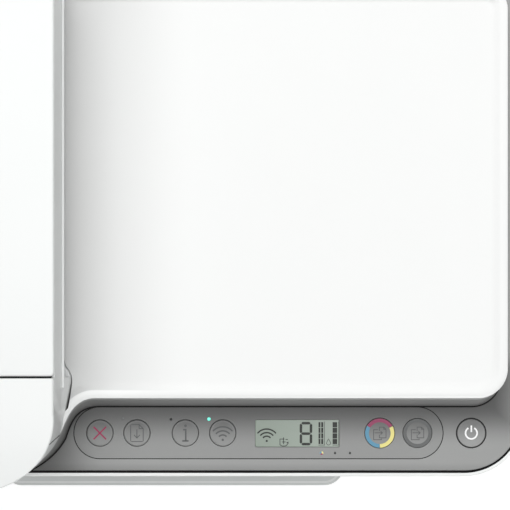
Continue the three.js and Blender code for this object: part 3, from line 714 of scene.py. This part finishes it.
def makeLugs():
    width = lid["lugWidth"]
    for side, x in lid["lugs"].items():
        lug = meshObject("lid_lug_" + side, roundedLug(x, x + width))
        carve(lug, [turnedAlongX(x - 2, x + width + 2, lid["pinY"], lid["pinHeight"], lid["pinHole"])])
        soften(lug, 0.5, 2, 40)
        finishPiece(lug, "lid", finish["white"])


def roundedLug(x0, x1):
    # an arm that rises behind the lid and ends round its hinge pin
    y0 = lid["rear"] + 0.3
    side = [(y0, 144), (y0 + 4.5, 144), (y0 + 4.5, 151)]
    side += arc((lid["pinY"], lid["pinHeight"]), 5.6, -80, 90, 14) + [(y0, 165.6)]
    return loft([[(x, y, z) for y, z in side] for x in (x0, x1)])


def turnedAlongX(x0, x1, y, z, radius, steps=32):
    ring = arc((y, z), radius, 0, 360, steps)[:-1]
    return loft([[(x, a, b) for a, b in ring] for x in (x0, x1)])


makeLid()
makeFeederFloor()
makeLugs()
print("lid made")


# the feeder on the left of the lid, and its cover
def makeFeeder():
    f = feeder
    heights = [(0.4, f["low"]), (0, f["low"] + 0.6)] + [(0, z) for z in range(153, 196, 3)]
    for i in range(7):
        angle = math.radians(90 * i / 6)
        heights.append((f["round"] * (1 - math.cos(angle)), f["top"] - f["round"] * (1 - math.sin(angle))))
    rings = []
    for inset, z in heights:
        ring = []
        for x, y in feederOutline(inset):
            push = bulgeAt(y, z) if x > f["right"] - 6 else 0
            ring.append((x + push, y, z))
        rings.append(ring)
    shell = meshObject("feeder_shell", loft(rings))
    wall, coverLow = f["wall"], box("adf_cover")[0][2]
    inset = wall - 0.1  # a little more than the hollow, so that no thin web is left
    bay = (f["left"] + inset, f["right"] - inset, f["seam"] + wall, f["rear"] - inset)
    cutters = [
        prism(feederOutline(wall), f["low"] + wall, coverLow - 3),
        block(-400, 0, f["seam"] - f["gap"], 400, coverLow - 0.3, f["top"] + 10),
        block(*bay, coverLow - 10, f["top"] + 5),
        block(f["right"] - 5, f["right"] + 9, *f["exit"]),
        block(*f["readingSlot"], f["low"] - 5, f["low"] + wall + 5),
    ]
    carve(shell, cutters)
    soften(shell, 0.3, 2, 50)
    finishPiece(shell, "lid", finish["feeder"], ["adf_housing"])


def makeCover():
    low, high = box("adf_cover")
    outline = roundedRect(low[0], high[0], low[1], high[1], 2.2, 2.2, 8)
    rings = [[(x, y, low[2]) for x, y in offsetOutline(outline, 0.3)]]
    rings.append([(x, y, low[2] + 0.3) for x, y in outline])
    for i in range(6):
        angle = math.radians(90 * i / 5)
        inset, z = 1.1 * (1 - math.cos(angle)), high[2] - 1.1 * (1 - math.sin(angle))
        rings.append([(x, y, z) for x, y in offsetOutline(outline, inset)])
    cover = meshObject("feeder_cover_shell", loft(rings))
    soften(cover, 0.1, 1, 60)
    finishPiece(cover, "feeder_cover", finish["white"], ["adf_cover"])
    ribs = bmesh.new()
    for i in range(feeder["ribs"]):  # stiffening ribs under the cover, which guide the paper
        x = -190 + feeder["ribPitch"] * i
        block(x, x + 1.6, -60, 120, low[2] - 2.2, low[2] - 0.05, ribs)
    guide = meshObject("feeder_cover_ribs", ribs)
    soften(guide, 0.3, 2)
    finishPiece(guide, "feeder_cover", finish["white"])


def makeFeederTrim():
    # a black strip in the cover's front gap as painted shadow, and a fine ledge over the exit in the right
    # wall
    f = feeder
    low = box("adf_cover")[0][2]
    front, rear = f["seam"] - f["gap"] + 0.05, f["seam"] - 0.1
    gapShadowBlock = block(f["left"] + 2, f["right"] - 1.6, front, rear, low - 0.25, f["top"] - 1.6)
    strip = meshObject("cover_gap_shadow", gapShadowBlock)
    finishPiece(strip, "lid", finish["gap"])
    ledge = meshObject("feeder_ledge", block(f["right"] + 0.02, f["right"] + f["ledgeReach"], *f["ledge"]))
    soften(ledge, 0.2, 2)
    finishPiece(ledge, "lid", finish["white"])
    # painted shadow: a dark strip up the crack where the lid meets the nose
    inside, outside = nosePoint(-19, 1.5), nosePoint(-19, -0.15)
    seam = meshObject("nose_crack_shadow", ribbon([inside, outside], 0.5, lid["top"], f["top"] - f["round"]))
    finishPiece(seam, "lid", finish["gap"])
    # painted shadow: a black line round the lid's foot where it meets the deck
    path = offsetOutline(lidOutline(lid["flare"]), -0.35)
    line = meshObject("lid_foot_shadow", ribbon(path, 0.9, lid["low"] + 0.05, lid["low"] + 0.6, closed=True))
    finishPiece(line, "lid", finish["gap"])


makeFeeder()
makeCover()
makeFeederTrim()
print("document feeder made")


# marks printed on the keys and the deck
inkDepth = 0.05


def ink(name, rgb, roughness=0.5):
    return moulded(name, rgb, roughness, 1800, 0.04, mottle=5)


inks = {
    "line": ink("ink_grey", (84, 86, 86)),
    "crimson": ink("ink_crimson", (158, 40, 84)),
    "white": ink("ink_white", (250, 250, 250)),
    "dark": ink("ink_dark", (34, 36, 36)),
    "ring": ink("ink_ring", (96, 98, 98)),
    "segment": ink("segment_dark", (24, 30, 24), 0.35),
    "teal": ink("lamp_teal", (112, 222, 202), 0.2),
    "lampOff": ink("lamp_off", (120, 123, 122), 0.2),
}
printInks = {"magenta": (150, 62, 98), "yellow": (232, 222, 140), "cyan": (92, 148, 176)}

glow = inks["teal"].node_tree.nodes["Principled BSDF"]  # a lit lamp shines by itself
glow.inputs["Emission Color"].default_value = (0.16, 0.8, 0.62, 1)
glow.inputs["Emission Strength"].default_value = 0.55


def mark(name, bm, body, material):
    piece = meshObject(name, bm)
    finishPiece(piece, body, material)
    return piece


def keyTop(name, radius=0.0):
    # the dished top of a key, a hair above its surface
    r = keys[name]["r"]
    part = min(radius / r, 1)
    return deckTop + 0.4 - 0.24 * (1 - part) ** 0.8 * 0.9 + 0.03


def shifted(points, name):
    return [(keys[name]["x"] + x, keyRow + y) for x, y in points]


def addStrokes(name, strokes, width, bm=None, level=None):
    bm = bm or bmesh.new()
    z = keyTop(name, 2.5) if level is None else level
    for path, closed in strokes:
        ribbon(shifted(path, name), width, z, z + inkDepth, bm, closed)
    return bm


def crossMark():
    arm, half = 5.2, 0.42
    plus = []
    for turn in range(4):
        for x, y in ((half, half), (arm, half), (arm, -half)):
            a = math.radians(45 - 90 * turn)
            plus.append((x * math.cos(a) - y * math.sin(a), x * math.sin(a) + y * math.cos(a)))
    z = keyTop("cancel", 2.5)
    outline = list(reversed(shifted(plus, "cancel")))
    mark("mark_cancel", prism(outline, z, z + inkDepth), "cancel", inks["crimson"])


def pageStrokes(x0, x1, y0, y1, fold):
    page = [(x0, y0), (x1, y0), (x1, y1 - fold), (x1 - fold, y1), (x0, y1)]
    return [(page, True), ([(x1 - fold, y1), (x1 - fold, y1 - fold), (x1, y1 - fold)], False)]


def resumeMark():
    strokes = pageStrokes(-3.7, 3.7, -5.0, 5.0, 2.4)
    strokes += [([(0, 2.2), (0, -2.6)], False), ([(-1.7, -1.1), (0, -2.9), (1.7, -1.1)], False)]
    mark("mark_resume", addStrokes("resume", strokes, 0.5), "resume", inks["line"])


def infoMark():
    stem, foot = [(-1.3, 2.0), (0.25, 2.0), (0.25, -4.5)], [(-1.8, -4.6), (1.9, -4.6)]
    bm = addStrokes("info", [(stem, False), (foot, False)], 0.9)
    z = keyTop("info", 2.5)
    prism(arc((keys["info"]["x"] + 0.1, keyRow + 4.3), 0.8, 0, 360, 20)[:-1], z, z + inkDepth, bm)
    mark("mark_info", bm, "info", inks["line"])


def wirelessMark():
    centre = (0, -4.1)
    strokes = [(arc(centre, r, 42, 138, 20), False) for r in (3.0, 5.4, 7.8)]
    bm = addStrokes("wireless", strokes, 0.85)
    z = keyTop("wireless", 2.5)
    spot = (keys["wireless"]["x"], keyRow - 4.0)
    prism(arc(spot, 0.7, 0, 360, 20)[:-1], z, z + inkDepth, bm)
    mark("mark_wireless", bm, "wireless", inks["line"])


def copyMark(name, material):
    # an arrow leads from the rear sheet into the front one
    front = [(-0.2, 1.2), (-0.2, 3.5), (2.4, 3.5), (3.7, 2.2), (3.7, -2.8), (-0.2, -2.8), (-0.2, -0.9)]
    fold = [(2.4, 3.5), (2.4, 2.2), (3.7, 2.2)]
    back = [(-1.0, 2.0), (-3.6, 2.0), (-3.6, -3.9), (1.0, -3.9), (1.0, -3.2)]
    shaft, head = [(-2.9, 0.15), (1.5, 0.15)], [(0.5, 1.2), (1.6, 0.15), (0.5, -0.9)]
    strokes = [(path, False) for path in (front, fold, back, shaft, head)]
    mark("mark_" + name, addStrokes(name, strokes, 0.42), name, material)


def ringSector(name, outer, inner, start, end, material, label):
    middle, width = (outer + inner) / 2, outer - inner
    z = keyTop(name, inner) + 0.06
    bm = ribbon(shifted(arc((0, 0), middle, start, end, 40), name), width, z, z + inkDepth)
    mark(label, bm, name, material)


def colourRing():
    sectors = {"magenta": (30, 149), "yellow": (-89, 28), "cyan": (151, 269)}
    for shade, (start, end) in sectors.items():
        shadeInk = ink("ink_" + shade, printInks[shade])
        ringSector("colour_copy", 8.6, 6.4, start, end, shadeInk, "ring_" + shade)


def powerMark():
    z = keyTop("power", 3)
    arcPath = arc((0, 0), 3.4, 120, 420, 40)
    bm = addStrokes("power", [(arcPath, False), ([(0, 0.6), (0, 4.5)], False)], 0.95, level=z)
    mark("mark_power", bm, "power", inks["white"])


def powerRing():
    # the power key has a heavier dark ring than the others' plain gaps
    key = keys["power"]
    z = deckTop + 0.01
    path = arc((key["x"], keyRow), key["r"] + 0.42, 0, 360, 72)[:-1]
    mark("ring_line_power", ribbon(path, 0.45, z, z + 0.03, closed=True), "root", finish["gap"])


def makeLamps():
    for name, (x, y, state) in lamps.items():
        z = deckTop - 0.9
        r = 1.05 if state == "lit" else 0.75
        profile = [(0, z), (r, z), (r, z + 0.7), (r - 0.12, z + 0.88), (0, z + 0.93)]  # a low dome
        colour = {"off": inks["lampOff"], "dark": inks["dark"], "lit": inks["teal"]}[state]
        mark("lamp_" + name, turned(profile, (x, y), 24), "root", colour)


crossMark()
resumeMark()
infoMark()
wirelessMark()
copyMark("colour_copy", inks["line"])
copyMark("mono_copy", inks["line"])
colourRing()
ringSector("mono_copy", 8.4, 6.4, 0, 360, inks["ring"], "ring_mono")
powerMark()
powerRing()
makeLamps()
print("key marks made")


# the display under the strip's clear sheet
readout = {
    "level": deckTop - 0.28, "dull": (128, 141, 129), "bright": (148, 159, 149),
    "digit": (79.9, 87.3, -126.9, -113.1), "stroke": 1.5, "lean": 0.18, "steps": 4, "wireless": (60.5, -124.4),
    "gauges": ((((91.0, 92.1), (92.6, 93.8)), 94.7), (((99.3, 102.0),), 102.95)),
}


def liquidCrystal():
    # a reflective display: greenish grey, lighter to the right, under a clear sheet
    material, nodes, links, shader, place = startMaterial("display_glass")
    axes = nodes.new("ShaderNodeSeparateXYZ")
    links.new(place, axes.inputs["Vector"])
    across = nodes.new("ShaderNodeMapRange")
    across.inputs["From Min"].default_value = screen["x0"] * 0.001
    across.inputs["From Max"].default_value = screen["x1"] * 0.001
    links.new(axes.outputs["X"], across.inputs["Value"])
    cells = noise(nodes, links, place, 4000, 1)
    mix = nodes.new("ShaderNodeMath")
    mix.operation = "MULTIPLY_ADD"
    links.new(cells, mix.inputs[0])
    mix.inputs[1].default_value = 0.12
    links.new(across.outputs["Result"], mix.inputs[2])
    colour = blendColours(nodes, links, mix.outputs["Value"], readout["dull"], readout["bright"])
    links.new(colour, shader.inputs["Base Color"])
    bump = nodes.new("ShaderNodeBump")
    bump.inputs["Strength"].default_value = 0.02
    bump.inputs["Distance"].default_value = 0.0001
    links.new(cells, bump.inputs["Height"])
    links.new(bump.outputs["Normal"], shader.inputs["Normal"])
    shader.inputs["Roughness"].default_value = 0.16
    shader.inputs["Coat Weight"].default_value = 0.4
    shader.inputs["Coat Roughness"].default_value = 0.04
    return material


def makeDisplay():
    low, high = box("display")
    level = readout["level"]
    ease = 0.25
    face = roundedRect(screen["x0"] + ease, screen["x1"] - ease, screen["y0"] + ease, screen["y1"] - ease, 1)
    bm = prism(roundedRect(low[0], high[0], low[1], high[1], 1), low[2], deckTop - 1.5)
    prism(face, deckTop - 1.55, level, bm)
    panel = meshObject("display_panel", bm)
    soften(panel, 0.1, 2)
    finishPiece(panel, "root", liquidCrystal(), ["display"])


def displayMark(name, bm, material=None):
    piece = meshObject(name, bm)
    finishPiece(piece, "root", material or inks["segment"])


def bar(x0, x1, y0, y1, bm=None):
    z = readout["level"] + 0.01
    return block(x0, x1, y0, y1, z, z + inkDepth, bm)


def digitEight():
    # seven segments with pointed ends
    x0, x1, y0, y1 = readout["digit"]
    half, z, lean = readout["stroke"] / 2, readout["level"] + 0.01, readout["lean"]
    middle = (y0 + y1) / 2
    bm = bmesh.new()
    for y in (y0 + half, middle, y1 - half):
        a, b = x0 + half + lean, x1 - half - lean
        level = [(a, y), (a + half, y - half), (b - half, y - half)]
        level += [(b, y), (b - half, y + half), (a + half, y + half)]
        prism(level, z, z + inkDepth, bm)
    for x in (x0 + half, x1 - half):
        for start, end in ((y0 + half, middle), (middle, y1 - half)):
            a, b = start + lean, end - lean
            tall = [(x, a), (x + half, a + half), (x + half, b - half)]
            tall += [(x, b), (x - half, b - half), (x - half, a + half)]
            prism(tall, z, z + inkDepth, bm)
    displayMark("digit_copies", bm)


def inkGauges():
    # two gauges of stacked level blocks, each with a thin line at its right and below
    y0, y1 = readout["digit"][2:]
    bm = bmesh.new()
    pitch = (y1 - y0 - 0.6) / readout["steps"]
    for columns, line in readout["gauges"]:
        for x0, x1 in columns:
            for k in range(readout["steps"]):
                bar(x0, x1, y0 + 0.6 + k * pitch + 0.15, y0 + 0.6 + (k + 1) * pitch - 0.15, bm)
        bar(line - 0.28, line, y0, y1 + 0.2, bm)
        bar(columns[0][0], line - 0.3, y0, y0 + 0.28, bm)
    displayMark("ink_gauges", bm)


def dropShape(x, y, width, height, steps=18):
    # a round drop with its point to the rear
    r = width / 2
    points = arc((x, y + r), r, 150, 390, steps)
    return points + [(x, y + height)]


def displayIcons():
    z = readout["level"] + 0.01
    bm = bmesh.new()
    centre = readout["wireless"]
    for r in (2.9, 5.0, 7.1):
        ribbon(arc(centre, r, 40, 140, 18), 0.85, z, z + inkDepth, bm)
    prism(arc((centre[0], centre[1] + 0.1), 0.65, 0, 360, 16)[:-1], z, z + inkDepth, bm)
    displayMark("display_wireless", bm)
    page = bmesh.new()
    sheet = [(70.9, -123.2), (68.3, -123.2), (68.3, -126.6), (69.6, -127.3), (71.6, -127.3), (72.8, -126.2)]
    upright, cross = [(70.4, -122.2), (70.4, -126.2)], [(69.5, -124.9), (71.6, -124.9)]
    for path in (sheet, upright, cross, [(71.6, -123.4), (73, -123.4)]):
        ribbon(path, 0.42, z, z + inkDepth, page)
    prism([(71.9, -125.4), (73.3, -124.7), (73.3, -126.1)], z, z + inkDepth, page)
    displayMark("display_page", page)
    drop = bmesh.new()
    ribbon(dropShape(96.9, -126.7, 2.3, 3.6), 0.32, z, z + inkDepth, drop, closed=True)
    displayMark("display_drop", drop)


def marksBelowDisplay():
    # a three-coloured dot and two drops name the gauges
    z = deckTop + 0.01
    spot = (92.8, -131.4)
    for name, start in (("magenta", 210), ("yellow", -30), ("cyan", 90)):
        sector = [spot] + arc(spot, 1.05, start, start + 120, 10)
        mark("drop_" + name, prism(sector, z, z + inkDepth), "root", ink("drop_ink_" + name, printInks[name]))
    for k, x in enumerate((100.7, 109.5)):
        mark("dot_ink_%d" % k, prism(dropShape(x, -132.1, 1.3, 1.7), z, z + inkDepth), "root", inks["dark"])


makeDisplay()
digitEight()
inkGauges()
displayIcons()
marksBelowDisplay()
print("display made")


# trays and front door
outTray = {"corner": 13, "rearCorner": 3, "round": 1.2, "laneHalf": 9, "lanes": (-72, -36, 0, 36, 72),
           "highlightColour": (232, 234, 233)}


def makeOutputTray():
    low, high = box("output_tray")
    turn = [math.radians(18 * i) for i in range(6)]
    edge = outTray["round"]
    steps = [(0.5, low[2]), (0, low[2] + 0.6), (0, high[2] - edge - 0.2)]
    steps += [(edge * (1 - math.cos(a)), high[2] - edge + edge * math.sin(a)) for a in turn]
    rings = []
    for inset, z in steps:
        sides = (low[0] + inset, high[0] - inset, low[1] + inset, high[1] - inset)
        outline = roundedRect(*sides, outTray["corner"] - inset, outTray["rearCorner"] - inset, 16)
        rings.append([(x, y, z) for x, y in outline])
    tray = meshObject("output_tray_shell", loft(rings))
    inner = box("tray_extender")[1][0] + 0.4
    half = outTray["laneHalf"]
    cutters = [block(-inner, inner, low[1] - 5, -50, low[2] + 2, high[2] - 2)]
    for x in outTray["lanes"]:  # shallow sunk lanes keep damp paper from sticking
        lane = roundedRect(x - half, x + half, low[1] + 16, high[1] - 14, 4)
        cutters.append(prism(lane, high[2] - 0.5, high[2] + 5))
    carve(tray, cutters)
    soften(tray, 0.2, 2, 50)
    finishPiece(tray, "tray", finish["tray"], ["output_tray"])
    # a lighter strip along the front of the tray top, a painted highlight of its rounded front edge
    corner = outTray["corner"]
    path = arc((low[0] + corner, low[1] + corner), 10.6, 190, 270)
    path += arc((high[0] - corner, low[1] + corner), 10.6, 270, 350)
    strip = meshObject("output_tray_painted_highlight", ribbon(path, 1.4, high[2] + 0.005, high[2] + 0.05))
    finishPiece(strip, "tray", moulded("tray_painted_highlight", outTray["highlightColour"], 0.35, mottle=2))


extender = {"grip": 14, "laneHalf": 8, "lanes": (-55, -27, 27, 55), "laneDepth": 0.6}


def makeExtender():
    low, high = box("tray_extender")
    outline = roundedRect(low[0], high[0], low[1], high[1], 4, 2)
    plate = meshObject("tray_extender_plate", prism(outline, low[2], high[2]))
    grip, half = extender["grip"], extender["laneHalf"]
    cutters = [prism(roundedRect(-grip, grip, low[1] + 4.5, low[1] + 10.5, 2.9), 0, 100)]
    for x in extender["lanes"]:
        lane = (x - half, x + half, low[1] + 16, high[1] - 10)
        cutters.append(block(*lane, high[2] - extender["laneDepth"], high[2] + 5))
    carve(plate, cutters)
    soften(plate, 0.35, 3, 40)
    finishPiece(plate, "extender", finish["tray"], ["tray_extender"])


frontDoor = {"half": 123.6, "gripHalf": 30, "gripDepth": 1.4, "pin": 1.0, "ribPitch": 20, "ribReach": 110}


def makeDoor():
    low, high = box("front_door")
    half, z0 = frontDoor["half"], low[2]
    panel = roundedRect(-half, half, z0, high[2], 1.6, 1.6, 5)
    door = meshObject("front_door_panel", uprightHole(panel, low[1], high[1]))
    grip = roundedRect(-frontDoor["gripHalf"], frontDoor["gripHalf"], high[2] - 6.5, high[2] + 4, 3, 3, 8)
    carve(door, [uprightHole(grip, low[1] - 5, low[1] + frontDoor["gripDepth"])])
    soften(door, 0.4, 3, 40)
    finishPiece(door, "door", finish["tray"], ["front_door"])
    for side, sign in (("left", -1), ("right", 1)):
        ends = sorted((sign * (half - 0.5), sign * (half + 2.4)))
        pin = meshObject("door_pin_" + side, turnedAlongX(*ends, low[1] + 1.5, z0 + 1.5, frontDoor["pin"], 24))
        soften(pin, 0.15, 2)
        finishPiece(pin, "door", finish["tray"])
    ribs = bmesh.new()
    reach = frontDoor["ribReach"]
    for x in range(-reach, reach + 1, frontDoor["ribPitch"]):  # they guide the sheet on its way out
        block(x - 0.8, x + 0.8, high[1] - 0.05, high[1] + 1.6, z0 + 5, high[2] - 8, ribs)
    liner = meshObject("front_door_ribs", ribs)
    finishPiece(liner, "door", finish["tray"])


rearTray = {"panelFront": 161, "ledgeHalf": 125.7, "ledgeThick": 2.7, "finger": (-60, 60),
            "notch": (-116, 116, 73, 81)}


def makeInputTray():
    low, high = box("input_tray")
    y0, y1 = rearTray["panelFront"], high[1]
    panel = roundedRect(low[0], high[0], low[2], high[2], 6, 3, 8)
    back = meshObject("input_tray_panel", uprightHole(panel, y0, y1))
    half = rearTray["ledgeHalf"]
    ledge = block(-half, half, low[1], y0 + 1, high[2] - rearTray["ledgeThick"], high[2])
    ledge = meshObject("input_tray_ledge", ledge)
    extLow, extHigh = box("input_extension")
    pocket = [extLow[0] - 0.3, extHigh[0] + 0.3, extLow[1] - 0.3, extHigh[1] + 0.3, extLow[2] - 3, high[2] + 5]
    x0, x1, z0, z1 = rearTray["notch"]
    finger = roundedRect(*rearTray["finger"], high[2] - 22, high[2] - 14, 3.9, 3.9, 8)
    carve(back, [block(*pocket), block(x0, x1, y0 - 1, y0 + 1, z0, z1), uprightHole(finger, y1 - 0.5, y1 + 5)])
    soften(back, 0.4, 3, 40)
    finishPiece(back, "rear_tray", finish["white"], ["input_tray"])
    carve(ledge, [block(*pocket)])
    soften(ledge, 0.35, 2, 40)
    finishPiece(ledge, "rear_tray", finish["white"])


makeOutputTray()
makeExtender()
makeDoor()
makeInputTray()
print("trays and door made")


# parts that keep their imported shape
def refine(node, material, edge=0.4):
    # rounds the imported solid's sharp edges and gives it its finish
    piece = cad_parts[node]
    weld = piece.modifiers.new("weld", "WELD")
    weld.merge_threshold = 0.00001
    flat = piece.modifiers.new("flat", "DECIMATE")
    flat.decimate_type = "DISSOLVE"
    flat.angle_limit = math.radians(1.5)
    bevel = piece.modifiers.new("edge", "BEVEL")
    bevel.width = edge * 0.001
    bevel.segments = 2
    bevel.limit_method = "ANGLE"
    bevel.angle_limit = math.radians(40)
    bevel.harden_normals = True
    if not piece.material_slots:
        piece.data.materials.append(material)
    for place in piece.material_slots:
        place.material = material


keptParts = {
    "dark": ("bottom_plate", "lid_hinge_left", "lid_hinge_right", "adf_separator_pad", "scan_bar", "carriage",
             "platen", "paper_ramp", "service_station"),
    "black": ("power_inlet", "cartridge_black", "cartridge_colour", "power_supply"),
    "rubber": ("foot_front_left", "foot_front_right", "foot_rear_left", "foot_rear_right", "carriage_belt",
               "adf_pick_roller", "adf_drive_roller", "feed_roller", "output_roller", "pick_roller"),
    "steel": ("chassis_frame", "carriage_motor", "feed_motor", "data_port"),
    "rod": ("scan_rod", "carriage_rod", "pinch_roller"),
    "nylon": ("motor_pulley", "idler_pulley", "feed_gear", "motor_pinion", "output_gear", "idler_gear"),
    "foil": ("lid_pad",),
    "tray": ("input_extension", "paper_guide_left", "paper_guide_right"),
}
for material, nodeNames in keptParts.items():
    for nodeName in nodeNames:
        refine(nodeName, finish[material], 0.2 if material in ("steel", "nylon", "rod") else 0.4)


def scanGlass():
    # clear float glass with faint smears
    material, nodes, links, shader, place = startMaterial("scan_glass")
    smear = noise(nodes, links, place, 30, 5)
    links.new(spread(nodes, links, smear, 0.015, 0.05), shader.inputs["Roughness"])
    shader.inputs["Base Color"].default_value = (0.86, 0.95, 0.92, 1)
    shader.inputs["Transmission Weight"].default_value = 1
    shader.inputs["IOR"].default_value = 1.5
    return material


def circuitBoard():
    # green mask over faint copper runs
    material, nodes, links, shader, place = startMaterial("circuit_board")
    runs = nodes.new("ShaderNodeTexBrick")
    runs.inputs["Scale"].default_value = 220
    runs.inputs["Mortar Size"].default_value = 0.03
    runs.inputs["Color1"].default_value = (*linear((20, 92, 58)), 1)
    runs.inputs["Color2"].default_value = (*linear((24, 104, 64)), 1)
    runs.inputs["Mortar"].default_value = (*linear((66, 140, 92)), 1)
    links.new(place, runs.inputs["Vector"])
    links.new(runs.outputs["Color"], shader.inputs["Base Color"])
    shader.inputs["Roughness"].default_value = 0.4
    return material


refine("scan_glass", scanGlass(), 0.15)
boardGreen = circuitBoard()
refine("main_board", boardGreen, 0.1)
print("inner parts finished")


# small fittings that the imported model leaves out
def fitting(name, bm, rider, material, edge=0.15):
    piece = meshObject(name, bm)
    if edge:
        soften(piece, edge, 2, 40)
    finishPiece(piece, rider, material)


screws = {"across": (-150, 0, 150), "along": (-120, 136), "head": 3, "shank": 1.5, "slot": (1.7, 0.35)}


def makeScrews():
    # cross-headed screws hold the bottom plate
    low = box("bottom_plate")[0][2]
    head, shank, (long, narrow) = screws["head"], screws["shank"], screws["slot"]
    profile = [(0, low + 0.5), (shank, low + 0.5), (shank, low), (head, low)]
    profile += [(head - 0.2, low - 0.9), (head - 1.2, low - 1.3), (0, low - 1.4)]
    for i, (x, y) in enumerate([(x, y) for y in screws["along"] for x in screws["across"]]):
        screw = meshObject("screw_%d" % i, turned(profile, (x, y), 28))
        arms = ((long, narrow), (narrow, long))
        carve(screw, [block(x - a, x + a, y - b, y + b, low - 2, low - 0.6) for a, b in arms])
        finishPiece(screw, "root", finish["screw"])


keyBoard = {"plan": (-62, 196, -134, -104), "below": 12, "thick": 1.6, "switchHalf": 3, "switchHigh": 3}


def makeControlBoard():
    # a board under the keys with one switch below each
    z = deckTop - keyBoard["below"]
    top = z + keyBoard["thick"]
    fitting("control_board", block(*keyBoard["plan"], z, top), "root", boardGreen, 0)
    switches = bmesh.new()
    half, lid = keyBoard["switchHalf"], top + keyBoard["switchHigh"]
    for key in keys.values():
        x = key["x"]
        block(x - half, x + half, keyRow - half, keyRow + half, top, lid, switches)
        turned([(0, lid), (1.6, lid), (1.6, lid + 0.7), (0, lid + 0.7)], (x, keyRow), 20, switches)
    fitting("key_switches", switches, "root", finish["black"])


boardParts = {
    "chips": ((14, 16, 22, 22), (48, 20, 14, 9), (48, 38, 14, 9), (18, 52, 8, 8), (66, 56, 7, 12)),
    "sockets": ((6, 20), (32, 14), (52, 24)), "chipHigh": 1.6, "socketHigh": 6,
}


def makeBoardParts():
    x0, y0, z = box("main_board")[0][0], box("main_board")[0][1], box("main_board")[1][2]
    chips, sockets = bmesh.new(), bmesh.new()
    for x, y, width, depth in boardParts["chips"]:
        block(x0 + x, x0 + x + width, y0 + y, y0 + y + depth, z, z + boardParts["chipHigh"], chips)
    for x, width in boardParts["sockets"]:
        block(x0 + x, x0 + x + width, y0 + 2, y0 + 7, z, z + boardParts["socketHigh"], sockets)
    fitting("board_chips", chips, "root", finish["black"])
    fitting("board_sockets", sockets, "root", finish["nylon"])


encoder = {"half": 196.2, "front": 30.4, "thick": 0.3, "low": 90, "high": 97,
           "hooks": ((-198, -195.6), (195.6, 198))}


def makeEncoderStrip():
    # a thin strip tells the carriage its place
    y, z0, z1 = encoder["front"], encoder["low"], encoder["high"]
    strip = block(-encoder["half"], encoder["half"], y, y + encoder["thick"], z0, z1)
    fitting("encoder_strip", strip, "root", finish["nylon"], 0)
    hooks = bmesh.new()
    for a, b in encoder["hooks"]:
        block(a, b, y - 1, y + 1.4, z0 - 1.5, z1 + 1.5, hooks)
    fitting("encoder_hooks", hooks, "root", finish["dark"])


contacts = {"pinApart": 4.4, "pin": 1.15, "tongueHalf": (2.6, 1.6)}


def makeContacts():
    low, high = box("power_inlet")
    x, z = (low[0] + high[0]) / 2, (low[2] + high[2]) / 2
    pins = bmesh.new()
    for side in (-contacts["pinApart"], contacts["pinApart"]):
        ring = arc((x + side, z), contacts["pin"], 0, 360, 20)[:-1]
        loft([[(a, y, c) for a, c in ring] for y in (high[1] - 3, high[1] - 15)], pins)
    fitting("inlet_pins", pins, "root", finish["steel"])
    low, high = box("data_port")
    x, z = (low[0] + high[0]) / 2, (low[2] + high[2]) / 2
    a, b = contacts["tongueHalf"]
    tongue = block(x - a, x + a, high[1] - 12, high[1] - 3, z - b, z + b)
    fitting("port_tongue", tongue, "root", finish["black"])


glassTrim = {"divider": (-125.4, -122.6), "dividerHigh": 0.22, "arrowX": -119, "arrowHalf": 3.5}


def makeGlassTrim():
    # a divider between the two reading windows, and an arrow at the corner for the sheet
    low, high = box("scan_glass")
    z = high[2]
    divider = block(*glassTrim["divider"], low[1] + 0.5, high[1] - 0.5, z, z + glassTrim["dividerHigh"])
    fitting("glass_divider", divider, "root", finish["dark"], 0.05)
    x, half = glassTrim["arrowX"], glassTrim["arrowHalf"]
    arrow = prism([(x, low[1] - 1.5), (x - half, low[1] - 6), (x + half, low[1] - 6)], z, z + inkDepth)
    fitting("corner_arrow", arrow, "root", inks["white"], 0)


bands = {"black": ((40, 41, 42),), "colour": tuple(printInks[name] for name in ("cyan", "magenta", "yellow"))}


def makeCartridgeLabels():
    # plain bands tell the two cartridges apart
    for name, shades in bands.items():
        low, high = box("cartridge_" + name)
        width = (high[0] - low[0] - 5) / len(shades)
        for k, rgb in enumerate(shades):
            x = low[0] + 2.5 + k * width
            label = block(x, x + width, low[1] + 6, high[1] - 8, 108, 108.15)
            shade = ink("label_ink_%s_%d" % (name, k), rgb)
            fitting("label_%s_%d" % (name, k), label, "print_carriage", shade, 0)


makeScrews()
makeControlBoard()
makeBoardParts()
makeEncoderStrip()
makeContacts()
makeGlassTrim()
makeCartridgeLabels()
print("small fittings made")
